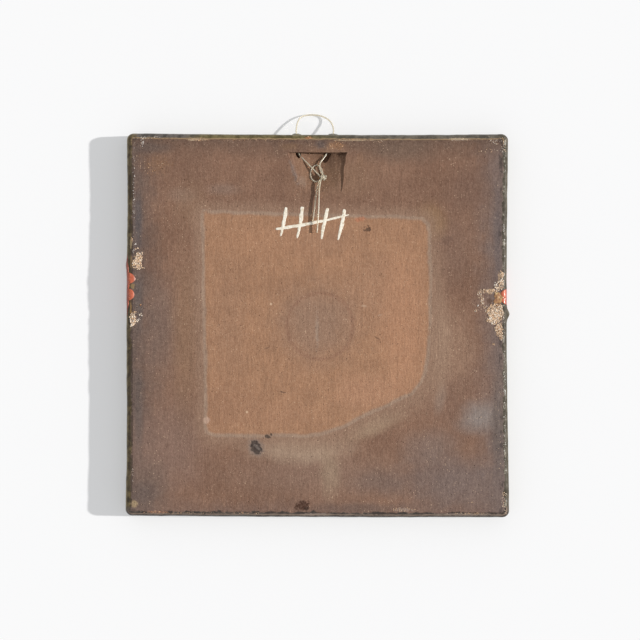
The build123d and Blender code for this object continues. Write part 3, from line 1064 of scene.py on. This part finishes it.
# Middle and radii in pixels, tint, strength, degrees, raggedness and softness
MARKS = [
    (256, 447.3, 11, 13, (138, 130, 126), 0.65, -35, 0.3, 0.8),
    (256, 447.3, 6.0, 8.6, (66, 58, 56), 1.0, -35, 0.5, 0.3),
    (256.8, 447, 2.0, 5.6, (124, 114, 108), 0.7, -45, 0.9, 0.5),
    (267.6, 436.4, 3.2, 2.2, (66, 54, 50), 0.9, 20, 0.8, 0.4),
    (271.4, 434.4, 1.4, 2.0, (70, 56, 52), 0.9, -20, 0.5, 0.5),
    (367.6, 229, 4.8, 3.6, (84, 58, 44), 0.9, 10, 1.4, 0.5),
    (360, 219, 8.0, 3.2, (192, 124, 92), 0.75, -8, 0.6, 0.7),
    (283, 392, 5.0, 0.9, (104, 76, 62), 0.8, 15, 0.6, 0.6),
    (267, 348, 4.0, 0.8, (112, 84, 70), 0.7, -20, 0.6, 0.6),
    (377, 338, 5.0, 0.9, (120, 90, 72), 0.7, 30, 0.6, 0.6),
    (206.6, 420, 4.4, 4.4, (206, 172, 152), 0.75, 0, 0.4, 0.5),
    (364, 306, 4.0, 1.4, (196, 164, 140), 0.6, 10, 0.5, 0.6),
    (380, 315, 3.4, 1.3, (194, 160, 136), 0.6, -15, 0.5, 0.6),
    (271, 304, 1.6, 1.6, (226, 192, 160), 0.9, 0, 0.3, 0.5),
    (247, 412, 1.5, 1.5, (224, 190, 158), 0.9, 0, 0.3, 0.5),
    (134.4, 503.5, 4.8, 4.8, (176, 152, 118), 0.85, 0, 0.4, 0.5),
    (302, 505, 8.4, 5.6, (74, 46, 36), 1.0, -12, 0.6, 0.3),
    (306.5, 508, 3.4, 2.6, (52, 34, 28), 0.9, 0, 0.6, 0.5),
    (299, 503, 2.6, 1.2, (126, 96, 84), 0.5, 0, 0.5, 0.6),
    (317, 331, 2.6, 24, (178, 156, 140), 0.5, 0, 0.9, 0.8),
    (336, 145, 10, 5, (168, 126, 92), 0.5, 0, 1.0, 0.5),
    (321, 144, 9, 7, (96, 84, 82), 0.8, 0, 0.5, 0.8),
    (294, 173, 3.6, 20, (132, 122, 118), 0.55, -18, 1.0, 1.0),
    (303, 181, 6, 9, (150, 128, 112), 0.5, -18, 0.7, 0.8),
    (290, 146, 16, 5, (140, 108, 82), 0.5, 0, 0.9, 0.7),
    (360, 160, 6, 12, (150, 114, 90), 0.5, 0, 0.6, 0.8),
    (158, 164, 18, 12, (142, 106, 80), 0.5, 0, 1.2, 0.8),
    (137.5, 261, 4.4, 6.4, (204, 170, 136), 0.9, 0, 0.9, 0.5),
    (133.5, 320, 2.8, 5.4, (204, 172, 138), 0.9, 0, 0.9, 0.5),
    (495.6, 314, 8.4, 8.6, (200, 164, 130), 0.92, 10, 0.9, 0.5),
    (499.4, 330, 3.2, 8, (196, 160, 126), 0.9, 12, 0.9, 0.5),
    (501, 280, 3.2, 9.6, (196, 166, 138), 0.9, -14, 0.7, 0.4),
    (490, 291.5, 6.4, 2.8, (190, 160, 130), 0.9, 0, 0.8, 0.4),
    (482, 301, 1.8, 7, (176, 144, 122), 0.7, 12, 1.0, 0.5),
    (479, 293, 2.6, 3, (172, 142, 120), 0.6, 0, 1.0, 0.5),
    (490, 301, 3.2, 3.6, (92, 66, 54), 0.8, 0, 0.5, 0.5),
    (446, 240, 12, 6, (108, 80, 70), 0.45, -20, 1.4, 0.8),
]
for mark in MARKS:
    clay = cloud(clay, *mark, 0.6)
print("marks:", len(MARKS))

# %% Material: grit, streaks, and the scooped recess's darker clay with painted shade
# The scooped recess gets a darker, warmer tint. Part of it is the clay's own darker colour there, and part
# is painted shade in the hollow, which also deepens the thread shadows on its floor.
recess_clay_and_shade_mask = calc(tree, "MULTIPLY", ramp(tree, Z, 11.55, 10.6), ramp(tree, edge_mm, 8.9, 9.3))
clay = tinted(tree, clay, recess_clay_and_shade_mask, 0.5, (130, 97, 74))
darker = layer(tree, 0.28, clay, colour(50, 34, 28))
lighter = layer(tree, 0.22, clay, colour(236, 206, 178))
mottled = layer(tree, ramp(tree, gritty["Mottle"], 0.3, 0.7), darker, lighter)
clay = layer(tree, 0.42, clay, mottled)
fine_streaks = grain_noise(tree, stretch(tree, spot_at, (1.3, 0.2, 1.0), (5, 9, 0)), 1.0, 3.0, 0.65)
dark_broad = layer(tree, 0.15, clay, colour(60, 42, 36))
stripes = layer(tree, ramp(tree, streaks, 0.3, 0.72), dark_broad, clay)
dark_fine = layer(tree, 0.2, stripes, colour(64, 44, 36))
stripes = layer(tree, ramp(tree, fine_streaks, 0.36, 0.66), dark_fine, stripes)
clay = layer(tree, 0.85, clay, stripes)
specks = calc(tree, "MULTIPLY", gritty["Specks"], ramp(tree, patchy, 0.42, 0.66, 0.08, 0.6))
clay = layer(tree, specks, clay, colour(224, 192, 162))
clay = tinted(tree, clay, gritty["Pits"], 0.5, (62, 42, 34))
print("clay laid with", len(tree.nodes), "nodes")

# %% [markdown]
# The glaze is olive over most of the top edge and grey-green on the right. Where it runs thin at
# its border it breaks to a tan line, and beside that line the clay is scorched nearly black. Each
# side of the tile has its own strength of each band, as in the photograph.

# %% Material: the glazed rim, side by side
glaze_noise = grain_noise(tree, stretch(tree, spot_at, (1, 1, 1.4), (7, 3, 1)), 0.28, 4.0, 0.62)
on_top = ramp(tree, Y, 94, 96.5)
on_bottom = ramp(tree, Y, -94, -96.5)
on_left = ramp(tree, X, -94, -96.5)
on_right = ramp(tree, X, 94, 96.5)
glaze = two_tone(tree, glaze_noise, 0.35, 0.65, (84, 74, 46), (120, 108, 74))
# Where it lies, the noise that it runs between, its dark tint and its light one
SIDE_GLAZES = [
    (ramp(tree, shaken_x, -8, 24), 0.35, 0.65, (78, 72, 64), (112, 104, 92)),
    (ramp(tree, shaken_x, -58, -70), 0.4, 0.6, (74, 68, 62), (106, 98, 92)),
    (on_left, 0.4, 0.6, (82, 68, 46), (122, 106, 74)),
    (on_right, 0.35, 0.65, (70, 64, 54), (98, 91, 80)),
    (on_bottom, 0.4, 0.6, (62, 55, 50), (92, 84, 76)),
]
for where, start, end, dark, light in SIDE_GLAZES:
    glaze = layer(tree, where, glaze, two_tone(tree, glaze_noise, start, end, dark, light))
glaze = layer(tree, ramp(tree, Z, 10.5, 7.5, 0, 0.62), glaze, colour(88, 80, 58))
rim_wander = calc(tree, "ADD", 4.2, calc(tree, "MULTIPLY", on_top, -3.0))
rim_wander = calc(tree, "MULTIPLY", calc(tree, "SUBTRACT", glaze_noise, 0.5), rim_wander)
glazed = ramp(tree, calc(tree, "ADD", edge_mm, rim_wander), 2.9, 2.1)
surface = layer(tree, glazed, clay, glaze)
# Name, side, nearest and farthest millimetres from the edge, the share of it that is kept, the
# scale of its gaps, tint and strength
RIM_BANDS = [
    ("top", on_top, 2.2, 2.7, 0.62, 0.09, (170, 142, 106), 0.75),
    ("top scorch", on_top, 2.9, 4.2, 0.42, 0.3, (84, 70, 62), 0.55),
    ("left line", on_left, -2.2, -0.4, 0.5, 0.12, (150, 134, 100), 0.7),
    ("left scorch", on_left, 0.9, 3.4, 0.55, 0.1, (60, 50, 44), 0.6),
    ("right pale", on_right, 1.2, 2.2, 0.42, 0.3, (186, 178, 162), 0.6),
    ("right scorch", on_right, 2.8, 4.6, 0.46, 0.14, (70, 62, 60), 0.7),
    ("bottom tan", on_bottom, 0.6, 1.5, 0.58, 0.11, (150, 128, 112), 0.65),
    ("bottom scorch", on_bottom, 1.8, 2.8, 0.46, 0.1, (66, 54, 48), 0.65),
]
for _, side_mask, near, far, kept, scale, tint, strength in RIM_BANDS:
    band = use(
        tree, band_group, Place=spot_at, Distance=edge_mm, Near=near, Far=far, Soft=0.2, Kept=kept,
        Noise_scale=scale,
    )
    mask = calc(tree, "MULTIPLY", band["Mask"], side_mask)
    surface = tinted(tree, surface, mask, strength, tint)
# Middle and radii in pixels, tint and strength
RIM_MARKS = [
    (130.9, 243, 1.6, 7, (172, 150, 116), 0.7), (132.6, 286, 2.8, 3.0, (156, 130, 90), 0.7),
    (130.8, 309, 1.3, 10, (166, 130, 84), 0.7), (131.2, 262, 1.3, 9, (152, 122, 88), 0.6),
    (196, 139.2, 11, 1.3, (196, 174, 146), 0.75), (309, 137.5, 5, 1.2, (172, 112, 66), 0.8),
    (352, 139.8, 26, 0.8, (180, 158, 132), 0.7), (459, 138.5, 12, 1.4, (184, 164, 138), 0.75),
    (157, 511.5, 13, 1.6, (154, 118, 100), 0.7), (403, 509.5, 13, 2.2, (160, 138, 126), 0.65),
    (315, 514, 16, 1.5, (148, 130, 118), 0.7), (465, 514, 34, 1.5, (146, 128, 116), 0.65),
]
for mark in RIM_MARKS:
    surface = cloud(surface, *mark, 0, 0.9, 0.5, 0.5)
print("rim bands:", [band[0] for band in RIM_BANDS])

# %% [markdown]
# The front can't be seen in the photograph. It is finished plainly: the rim's dark olive glaze,
# and across it a soft band of the same orange that ran over both edges.

# %% Material: glazed front, orange band, and the shader
front = ramp(tree, Z, 2.6, 1.0)
front_noise = grain_noise(tree, spot_at, 0.05, 5.0, 0.6)
front_glaze = two_tone(tree, front_noise, 0.35, 0.65, (58, 58, 42), (84, 80, 56))
surface = layer(tree, front, surface, front_glaze)
orange_noise = calc(tree, "MULTIPLY", calc(tree, "SUBTRACT", broad, 0.5), 40.0)
band_y = calc(tree, "ABSOLUTE", calc(tree, "SUBTRACT", calc(tree, "ADD", Y, orange_noise), 18.0))
orange_front = calc(tree, "MULTIPLY", ramp(tree, band_y, 16.0, 9.0), front)
surface = tinted(tree, surface, orange_front, 0.92, (186, 78, 44))
from_red = calc(tree, "ABSOLUTE", calc(tree, "SUBTRACT", calc(tree, "ADD", Y, rim_wander), 20.5))
left_red = calc(tree, "MULTIPLY", ramp(tree, from_red, 18.5, 13.5), on_left)
left_red = calc(tree, "MULTIPLY", left_red, ramp(tree, calc(tree, "ADD", edge_mm, rim_wander), 0.2, -0.6))
surface = tinted(tree, surface, left_red, 0.85, (142, 66, 44))
shine = calc(tree, "MAXIMUM", glazed, front)
flecks = grain_noise(tree, stretch(tree, spot_at, (1, 0.5, 1), (3, 60, 0)), 0.7, 4.0, 0.7)
dulled = calc(tree, "MULTIPLY", on_right, ramp(tree, flecks, 0.64, 0.58))
gloss = calc(tree, "MULTIPLY", shine, calc(tree, "SUBTRACT", 1.0, calc(tree, "MULTIPLY", dulled, 0.94)))
roughness = ramp(tree, gritty["Mottle"], 0.2, 0.8, 0.92, 0.74)
roughness = calc(tree, "SUBTRACT", roughness, calc(tree, "MULTIPLY", gloss, 0.42))
clay_height = calc(tree, "ADD", gritty["Height"], calc(tree, "MULTIPLY", streaks, 0.8))
bare = calc(tree, "SUBTRACT", 1.0, calc(tree, "MULTIPLY", shine, 0.85))
glaze_height = calc(tree, "MULTIPLY", calc(tree, "MULTIPLY", glaze_noise, shine), 1.2)
height = calc(tree, "ADD", calc(tree, "MULTIPLY", clay_height, bare), glaze_height)
fill(shader, {
    "Base Color": surface, "Roughness": roughness, "Normal": bump(tree, height, 0.8, 0.00024),
    "Coat Weight": calc(tree, "MULTIPLY", gloss, 0.45), "Coat Roughness": 0.22,
    "Specular IOR Level": 0.15,
})
tile.data.materials.clear()
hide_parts("wall_tile")
dress([tile], stoneware)
print("stoneware material:", len(tree.nodes), "nodes")

# %% [markdown]
# ## Orange glaze over the edges
# In the kiln the front's orange glaze ran round both edges and stopped in small tongues on the
# back. Glaze that runs keeps a rounded lip, so each run is a ring of a flat oval, carried along
# the edge: flat underneath, which is sunk in the clay, and swollen on top. Working on the
# unrolled edge, with one number for the way over the arris, keeps the tongue glued to the clay.

# %% Runs and dabs of glaze
def rim_skin(side, y, across, proud):
    """A point on the left (-1) or right (1) rim, unrolled: across is 0 where the upright side
    meets the arris, grows over the arris on to the back, and is negative down the side."""
    arc = BACK_ARRIS * np.pi / 2
    turn = np.clip(across, 0, arc) / BACK_ARRIS
    inward = BACK_ARRIS * (1 - np.cos(turn)) + np.maximum(across - arc, 0)
    z = THICKNESS - BACK_ARRIS * (1 - np.sin(turn)) + np.minimum(across, 0)
    x = side * (HALF + wave("right" if side > 0 else "left", y) - inward)
    proud = proud + relief(x, y, z, inward - (THICKNESS - z))
    return np.stack([x + side * np.cos(turn) * proud, y + 0 * proud, z + np.sin(turn) * proud], -1)


def glaze_run(side, start, end, low, base, tongues, thick, seed):
    """A run of glaze along the rim. Its upper border is base plus one round lobe for each tongue,
    given as place, half length and reach: reach times (1 - a squared) to the power of 0.6, where a
    runs from -1 to 1 over the tongue. Each ring is an oval from low to that border."""
    t = np.linspace(0, 1, 150)[:, None]
    y = start + (end - start) * t
    upper = base + 0.35 * noise(y, 0 * y, 1.6, seed)
    for middle, half_length, reach in tongues:
        upper = upper + reach * np.maximum(1 - ((y - middle) / half_length) ** 2, 0) ** 0.6
    taper = np.clip(np.sin(np.pi * t), 0.0008, 1) ** 0.3
    turn = np.linspace(0, 2 * np.pi, 36, endpoint=False)[None]
    share = -0.5 * np.cos(turn) * taper
    across = (low + upper) / 2 + share * (upper - low)
    swell = np.where(np.sin(turn) > 0, thick, 0.3) * np.sign(np.sin(turn)) * np.abs(np.sin(turn)) ** 0.5
    lumps = (1 + 0.3 * noise(y, across, 2.0, seed + 1)) * (0.2 + 0.8 * rise(across, 0.3, 3.5))
    return loft(rim_skin(side, y + 0 * across, across, swell * taper * lumps))


def dab(px, py, wide, tall, thick, seed):
    """A flat round drop on the back. Rings go out from the middle over the top and come back
    underneath; height falls off as a dome, and the border wanders."""
    share = np.concatenate([np.linspace(0.03, 1, 14), np.linspace(1, 0.03, 6)[1:]])[:, None]
    top = (np.arange(len(share)) < 14)[:, None]
    turn = np.linspace(0, 2 * np.pi, 48, endpoint=False)[None]
    border = 1 + 0.25 * noise(1.7 * np.cos(turn) + 9, 1.7 * np.sin(turn) + 9, 0.8, seed)
    middle_x, middle_y = place(px, py)
    x = middle_x + wide * PIXEL * share * border * np.cos(turn)
    y = middle_y + tall * PIXEL * share * border * np.sin(turn)
    dome = np.sqrt(np.maximum(1 - share ** 2, 0))
    bumpy = 1 + 0.35 * noise(x, y, 0.9, seed + 1)
    z = skin(x, y) + np.where(top, thick * dome * bumpy, -0.3 * dome)
    return loft(np.dstack([x, y, z]))


left_run = new_piece("orange_glaze_left", *glaze_run(
    -1, 37.0, 4.5, -4.0, 3.0, [(24.6, 2.9, 3.2), (16.0, 3.1, 2.8)], 0.42, 31))
right_run = new_piece("orange_glaze_right", *glaze_run(
    1, 19.0, 10.4, -3.6, 3.0, [(16.6, 2.2, 1.9), (12.5, 1.8, 1.7)], 0.4, 33))
amber = new_piece("amber_glaze", *joined([
    dab(497.4, 295.5, 3.6, 3.4, 0.4, 35), dab(498.0, 301, 4.4, 3.0, 0.35, 36),
    dab(501.2, 297.5, 2.6, 5.0, 0.3, 37),
]))
print("runs:", len(left_run.data.polygons), len(right_run.data.polygons), "faces")

# %% [markdown]
# Glaze is glass over clay: a clear coat with a sharp highlight over a colour that is deep where
# the glaze is thick and pale pink or brown where it is thin. Height over the clay isn't known to
# the material, but place is: the side of the tile is dark red, the tongues are bright.

# %% Orange and amber glaze
def glaze_material(name, dark, middle, light, side_tint, tip):
    """A glossy mottled glaze: three tints by noise, and a darker one down the tile's side. tip
    says how pale it gets where it runs thin, 95 mm from the tile's middle line."""
    material, tree, shader = new_material(name)
    at = millimetres(tree)
    mottled = grain_noise(tree, at, 0.75, 4.0, 0.65)
    tint = two_tone(tree, mottled, 0.3, 0.52, dark, middle)
    tint = layer(tree, ramp(tree, mottled, 0.52, 0.72), tint, colour(*light))
    x, _, z = node(tree, "ShaderNodeSeparateXYZ", {0: at}).outputs
    tint = layer(tree, ramp(tree, z, 12.05, 11.2), tint, colour(*side_tint))
    sideways = calc(tree, "ABSOLUTE", x)
    tint = layer(tree, ramp(tree, sideways, 96.6, 95.2, 0, tip), tint, colour(216, 180, 168))
    fired = use(tree, grit, Place=at, Coarseness=0.8)
    tint = tinted(tree, tint, fired["Specks"], 0.5, (240, 196, 170))
    fill(shader, {
        "Base Color": tint, "Roughness": ramp(tree, mottled, 0.2, 0.8, 0.5, 0.3),
        "Normal": bump(tree, mottled, 0.5, 0.0002), "Coat Weight": 0.5, "Coat Roughness": 0.15,
    })
    return material


orange_glaze = glaze_material(
    "orange glaze", (176, 84, 56), (200, 100, 68), (222, 134, 108), (150, 62, 44), 0.8
)
amber_glaze = glaze_material(
    "amber glaze", (136, 84, 58), (178, 132, 88), (210, 186, 128), (120, 80, 50), 0.0
)
dress((left_run, right_run), orange_glaze)
dress([amber], amber_glaze)
print("glazes:", orange_glaze.name, "and", amber_glaze.name)

# %% [markdown]
# ## Kiln sand
# The tile stood in coarse sand, and where wet glaze touched the sand, crumbs of it stayed. There
# are over three thousand, so each is only a small lumpy ball of 36 triangles, and all the crumbs
# of one side are one mesh: random places in a ragged ellipse, sizes with a few large ones among
# many small, and a random turn. Each crumb stores its own brightness and warmth for the material.

# %% Crumbs of sand
def unit_crumb():
    """Three rings of six points and two ends: a ball as rough as it may be."""
    height = np.array([-0.7, 0.0, 0.7])[:, None]
    turn = np.linspace(0, 2 * np.pi, 6, endpoint=False)[None] + height
    round_by = np.sqrt(1 - height ** 2)
    return loft(np.dstack([round_by * np.cos(turn), round_by * np.sin(turn), height + 0 * turn]))


def crumbs(name, patches, seed):
    """One mesh of crumbs. Each patch is a middle and two radii in pixels, a number, a size in
    millimetres, a brightness from 0 to 1 and a warmth from 0, grey, to 1, orange-tan."""
    random = np.random.default_rng(seed)
    ball, ball_faces = unit_crumb()
    ball = ball / np.abs(ball).max()
    numbers = [patch[4] for patch in patches]
    columns = [np.repeat(np.array(column, float), numbers) for column in zip(*patches)]
    middle_x, middle_y = place(columns[0], columns[1])
    count = len(middle_x)
    away = np.sqrt(random.uniform(0, 1, count))
    turn = random.uniform(0, 2 * np.pi, count)
    around = 1.5 * np.cos(turn) + middle_x, 1.5 * np.sin(turn) + middle_y
    away = away * (1 + 0.45 * noise(*around, 0.9, seed))
    limit = HALF - 0.7
    x = np.clip(middle_x + columns[2] * PIXEL * away * np.cos(turn), -limit, limit)
    y = np.clip(middle_y + columns[3] * PIXEL * away * np.sin(turn), -limit, limit)
    half_size = columns[5] / 2 * np.exp(random.normal(0, 0.28, count))
    sizes = half_size[:, None] * random.uniform(0.7, 1.25, (count, 3)) * np.array([1, 1, 0.8])
    shape = ball * random.uniform(0.75, 1.2, (count, len(ball), 1)) * sizes[:, None]
    spin = random.uniform(0, 2 * np.pi, (count, 1))
    turned_x = shape[..., 0] * np.cos(spin) - shape[..., 1] * np.sin(spin)
    turned_y = shape[..., 0] * np.sin(spin) + shape[..., 1] * np.cos(spin)
    z = skin(x, y) + half_size * random.uniform(-0.4, 0.4, count)
    points = np.stack([turned_x + x[:, None], turned_y + y[:, None], shape[..., 2] + z[:, None]], -1)
    per_crumb = len(ball)
    faces = [[corner + per_crumb * i for corner in face] for i in range(count) for face in ball_faces]
    piece = new_piece(name, points.reshape(-1, 3), faces)
    bright = np.clip(columns[6] + random.normal(0, 0.22, count), 0, 1)
    warm = np.clip(columns[7] + random.normal(0, 0.15, count), 0, 1)
    store(piece, "bright", np.repeat(bright, per_crumb))
    store(piece, "warm", np.repeat(warm, per_crumb))
    print(name, "has", count, "crumbs")
    return piece


left_sand = crumbs("kiln_sand_left", [
    (137.4, 261, 4.6, 6.4, 300, 0.5, 0.7, 0.5), (135.2, 265.5, 3.4, 3.6, 110, 0.55, 0.75, 0.5),
    (139.6, 254.5, 3.0, 3.2, 60, 0.5, 0.65, 0.45), (142.6, 268, 1.7, 0.7, 9, 0.5, 0.6, 0.7),
    (135, 243.9, 0.8, 0.8, 4, 0.6, 0.95, 0.1), (131.6, 239, 0.9, 2.4, 9, 0.5, 0.6, 0.8),
    (136.9, 248.7, 1.6, 1.0, 8, 0.5, 0.7, 0.6), (133, 250.5, 1.4, 2.4, 9, 0.5, 0.5, 0.1),
    (133.3, 319.5, 3.2, 6.4, 190, 0.5, 0.7, 0.5), (136.9, 321, 1.0, 1.2, 10, 0.7, 0.98, 0.4),
    (132, 325.5, 1.6, 1.2, 10, 0.55, 0.9, 0.4), (140.4, 305.7, 0.9, 1.0, 3, 0.7, 0.5, 0.9),
    (136.9, 306.3, 0.7, 0.7, 2, 0.6, 0.3, 0.3), (135.3, 312, 1.0, 1.6, 5, 0.5, 0.5, 0.5),
    (140.4, 314.6, 1.8, 1.4, 10, 0.5, 0.75, 0.4), (139, 319, 1.4, 0.8, 5, 0.45, 0.6, 0.2),
], 41)
right_sand = crumbs("kiln_sand_right", [
    (494.6, 311.5, 7.6, 7.2, 460, 0.5, 0.72, 0.55), (493.6, 319.5, 7.0, 6.0, 330, 0.5, 0.7, 0.55),
    (498.2, 328, 4.4, 5.0, 150, 0.48, 0.66, 0.55), (500.8, 335.5, 2.4, 4.8, 80, 0.46, 0.66, 0.55),
    (500, 315, 3.6, 9.0, 130, 0.46, 0.66, 0.5), (496.5, 294.5, 2.6, 1.6, 12, 0.45, 0.8, 0.5),
    (501.8, 275, 2.2, 3.8, 80, 0.5, 0.7, 0.45), (500.6, 283, 3.2, 4.8, 130, 0.5, 0.7, 0.45),
    (497, 289, 2.8, 2.6, 60, 0.5, 0.7, 0.45), (490.4, 291.5, 4.4, 2.4, 90, 0.48, 0.66, 0.5),
    (484.4, 291, 3.8, 2.0, 46, 0.46, 0.62, 0.45), (479.6, 294, 2.2, 3.4, 26, 0.46, 0.6, 0.45),
    (482.6, 301, 1.8, 5.4, 44, 0.48, 0.66, 0.4), (484.4, 307, 2.4, 1.6, 18, 0.46, 0.66, 0.4),
    (475.8, 310.6, 2.0, 1.5, 9, 0.5, 0.6, 0.4), (478.0, 306, 0.8, 0.8, 3, 0.6, 0.9, 0.2),
    (496.2, 284, 1.5, 2.4, 14, 0.55, 0.98, 0.2), (494, 316, 5, 7, 60, 0.6, 1.0, 0.25),
    (493.5, 343.8, 1.3, 0.8, 5, 0.5, 0.5, 0.7), (471, 286, 1, 1, 2, 0.5, 0.5, 0.4),
], 42)
edge_grit = crumbs("edge_grit", [
    (504.6, 400, 1.5, 62, 110, 0.3, 0.75, 0.05), (504.6, 452, 1.2, 12, 18, 0.28, 0.6, 0.2),
    (504.3, 229, 0.9, 8, 26, 0.34, 0.95, 0.05), (497, 140, 14, 4, 70, 0.3, 0.72, 0.35),
    (503.4, 147, 2.6, 8, 34, 0.32, 0.75, 0.3), (488, 150, 9, 2.4, 16, 0.34, 0.6, 0.55),
    (146, 137, 13, 1.2, 34, 0.32, 0.82, 0.25), (141.8, 141.5, 1.9, 3.6, 24, 0.32, 0.85, 0.05),
    (196, 139.3, 10, 1.0, 44, 0.32, 0.62, 0.8), (336, 145.5, 9, 4, 46, 0.34, 0.5, 0.95),
    (308, 137, 4.5, 1.1, 16, 0.36, 0.45, 1.0), (459, 139, 12, 1.1, 40, 0.3, 0.7, 0.4),
    (503.6, 500, 2.6, 14, 64, 0.36, 0.78, 0.5), (403, 509.4, 13, 1.8, 44, 0.36, 0.6, 0.55),
    (157, 511.8, 13, 1.2, 40, 0.34, 0.42, 0.95), (470, 502, 3, 1.3, 6, 0.4, 0.55, 0.8),
    (378, 141, 6, 1.2, 12, 0.32, 0.6, 0.6), (354, 139.2, 24, 0.9, 46, 0.28, 0.55, 0.75),
    (246, 139.6, 40, 0.8, 60, 0.26, 0.5, 0.75), (220, 512.6, 60, 0.8, 60, 0.28, 0.45, 0.7),
    (472, 513.2, 24, 0.8, 46, 0.3, 0.5, 0.65), (150, 163, 15, 9, 22, 0.4, 0.7, 0.9),
    (133.4, 188, 1.2, 44, 70, 0.27, 0.85, 0.08), (132.9, 474, 1.0, 7, 14, 0.3, 0.8, 0.35),
], 43)

# %% Sand material
sand, tree, shader = new_material("kiln sand")
bright = node(tree, "ShaderNodeAttribute", attribute_name="bright").outputs["Fac"]
warm_by = node(tree, "ShaderNodeAttribute", attribute_name="warm").outputs["Fac"]
at = millimetres(tree)
fired = use(tree, grit, Place=at, Coarseness=0.5)
uneven = calc(tree, "ADD", bright, calc(tree, "MULTIPLY", calc(tree, "SUBTRACT", fired["Mottle"], 0.5), 0.9))
cool = two_tone(tree, uneven, 0.0, 1.0, (122, 108, 102), (236, 228, 220))
toasted = two_tone(tree, uneven, 0.0, 0.75, (160, 122, 90), (228, 192, 154))
toasted = layer(tree, ramp(tree, uneven, 0.7, 1.05), toasted, colour(252, 232, 206))
sand_tint = layer(tree, ramp(tree, warm_by, 0.1, 0.6), cool, toasted)
rusty = two_tone(tree, uneven, 0.0, 1.0, (128, 76, 46), (206, 146, 94))
sand_tint = layer(tree, ramp(tree, warm_by, 0.7, 1.0, 0, 0.8), sand_tint, rusty)
fill(shader, {
    "Base Color": sand_tint, "Roughness": ramp(tree, uneven, 0.2, 1.0, 0.85, 0.5),
    "Normal": bump(tree, fired["Height"], 0.6, 0.0001),
})
dress((left_sand, right_sand, edge_grit), sand)
print("sand material on", [piece.name for piece in (left_sand, right_sand, edge_grit)])

# %% [markdown]
# ## Brushed tally
# Somebody counted in cream paint on the back: four slanted dabs and one across them. Thin paint
# follows every hollow of the clay, so each stroke is laid on the same skin as the slab, a tenth of
# a millimetre thick, with its underside just below it. Its width follows the brush: full where it
# lands, thinner where it lifts.

# %% Brush strokes
def brush_stroke(start, end, width, bow, seed):
    """Rings of a flat lens along a slightly bowed line between two pixels of the photograph. The
    width rises and falls as a flattened sine, and noise makes its sides uneven."""
    t = np.linspace(0, 1, 70)[:, None]
    (ax, ay), (bx, by) = place(*start), place(*end)
    length = math.hypot(bx - ax, by - ay)
    side_x, side_y = -(by - ay) / length, (bx - ax) / length
    shape = np.clip(np.sin(np.pi * t ** 0.8), 0.004, 1) ** 0.22 * (1.1 - 0.35 * t)
    turn = np.linspace(0, 2 * np.pi, 22, endpoint=False)[None]
    sideways = width / 2 * shape * np.cos(turn)
    sideways = sideways * (1 + 0.3 * noise(t * length, np.sign(np.cos(turn)) * 5, 1.1, seed))
    sideways = sideways + bow * np.sin(np.pi * t)
    x = ax + (bx - ax) * t + side_x * sideways
    y = ay + (by - ay) * t + side_y * sideways
    ridges = 1 + 0.5 * noise(sideways * 3, t * length * 0.3, 0.5, seed + 1)
    body = np.where(np.sin(turn) > 0, 0.11 * ridges, 0.12)
    body = body * np.sign(np.sin(turn)) * np.abs(np.sin(turn)) ** 0.6
    z = skin(x, y) + body * np.minimum(shape * 1.5, 1)
    return loft(np.dstack([x, y, z]))


# Start and end in pixels, width and bow in millimetres, and the seed of its noise
TALLY = [
    ((286, 207), (280.5, 236), 1.9, 0.3, 51), ((302.5, 206.5), (297, 238), 2.0, 0.35, 52),
    ((328, 208), (321.5, 239), 1.9, -0.3, 53), ((344.5, 209), (338, 240), 2.0, 0.35, 54),
    ((275.5, 229), (349, 214.5), 1.6, -0.6, 55),
]
tally = new_piece("painted_tally", *joined([brush_stroke(*stroke) for stroke in TALLY]))
paint, tree, shader = new_material("cream brush paint")
at = millimetres(tree)
thin = grain_noise(tree, at, 0.8, 5.0, 0.7)
paint_tint = two_tone(tree, thin, 0.3, 0.6, (222, 205, 178), (250, 243, 228))
paint_tint = layer(tree, ramp(tree, thin, 0.4, 0.3, 0, 0.6), paint_tint, colour(166, 134, 108))
fill(shader, {
    "Base Color": paint_tint, "Roughness": ramp(tree, thin, 0.3, 0.7, 0.7, 0.5),
    "Normal": bump(tree, thin, 0.4, 0.0001),
})
dress([tally], paint)
print("tally:", len(tally.data.polygons), "faces")
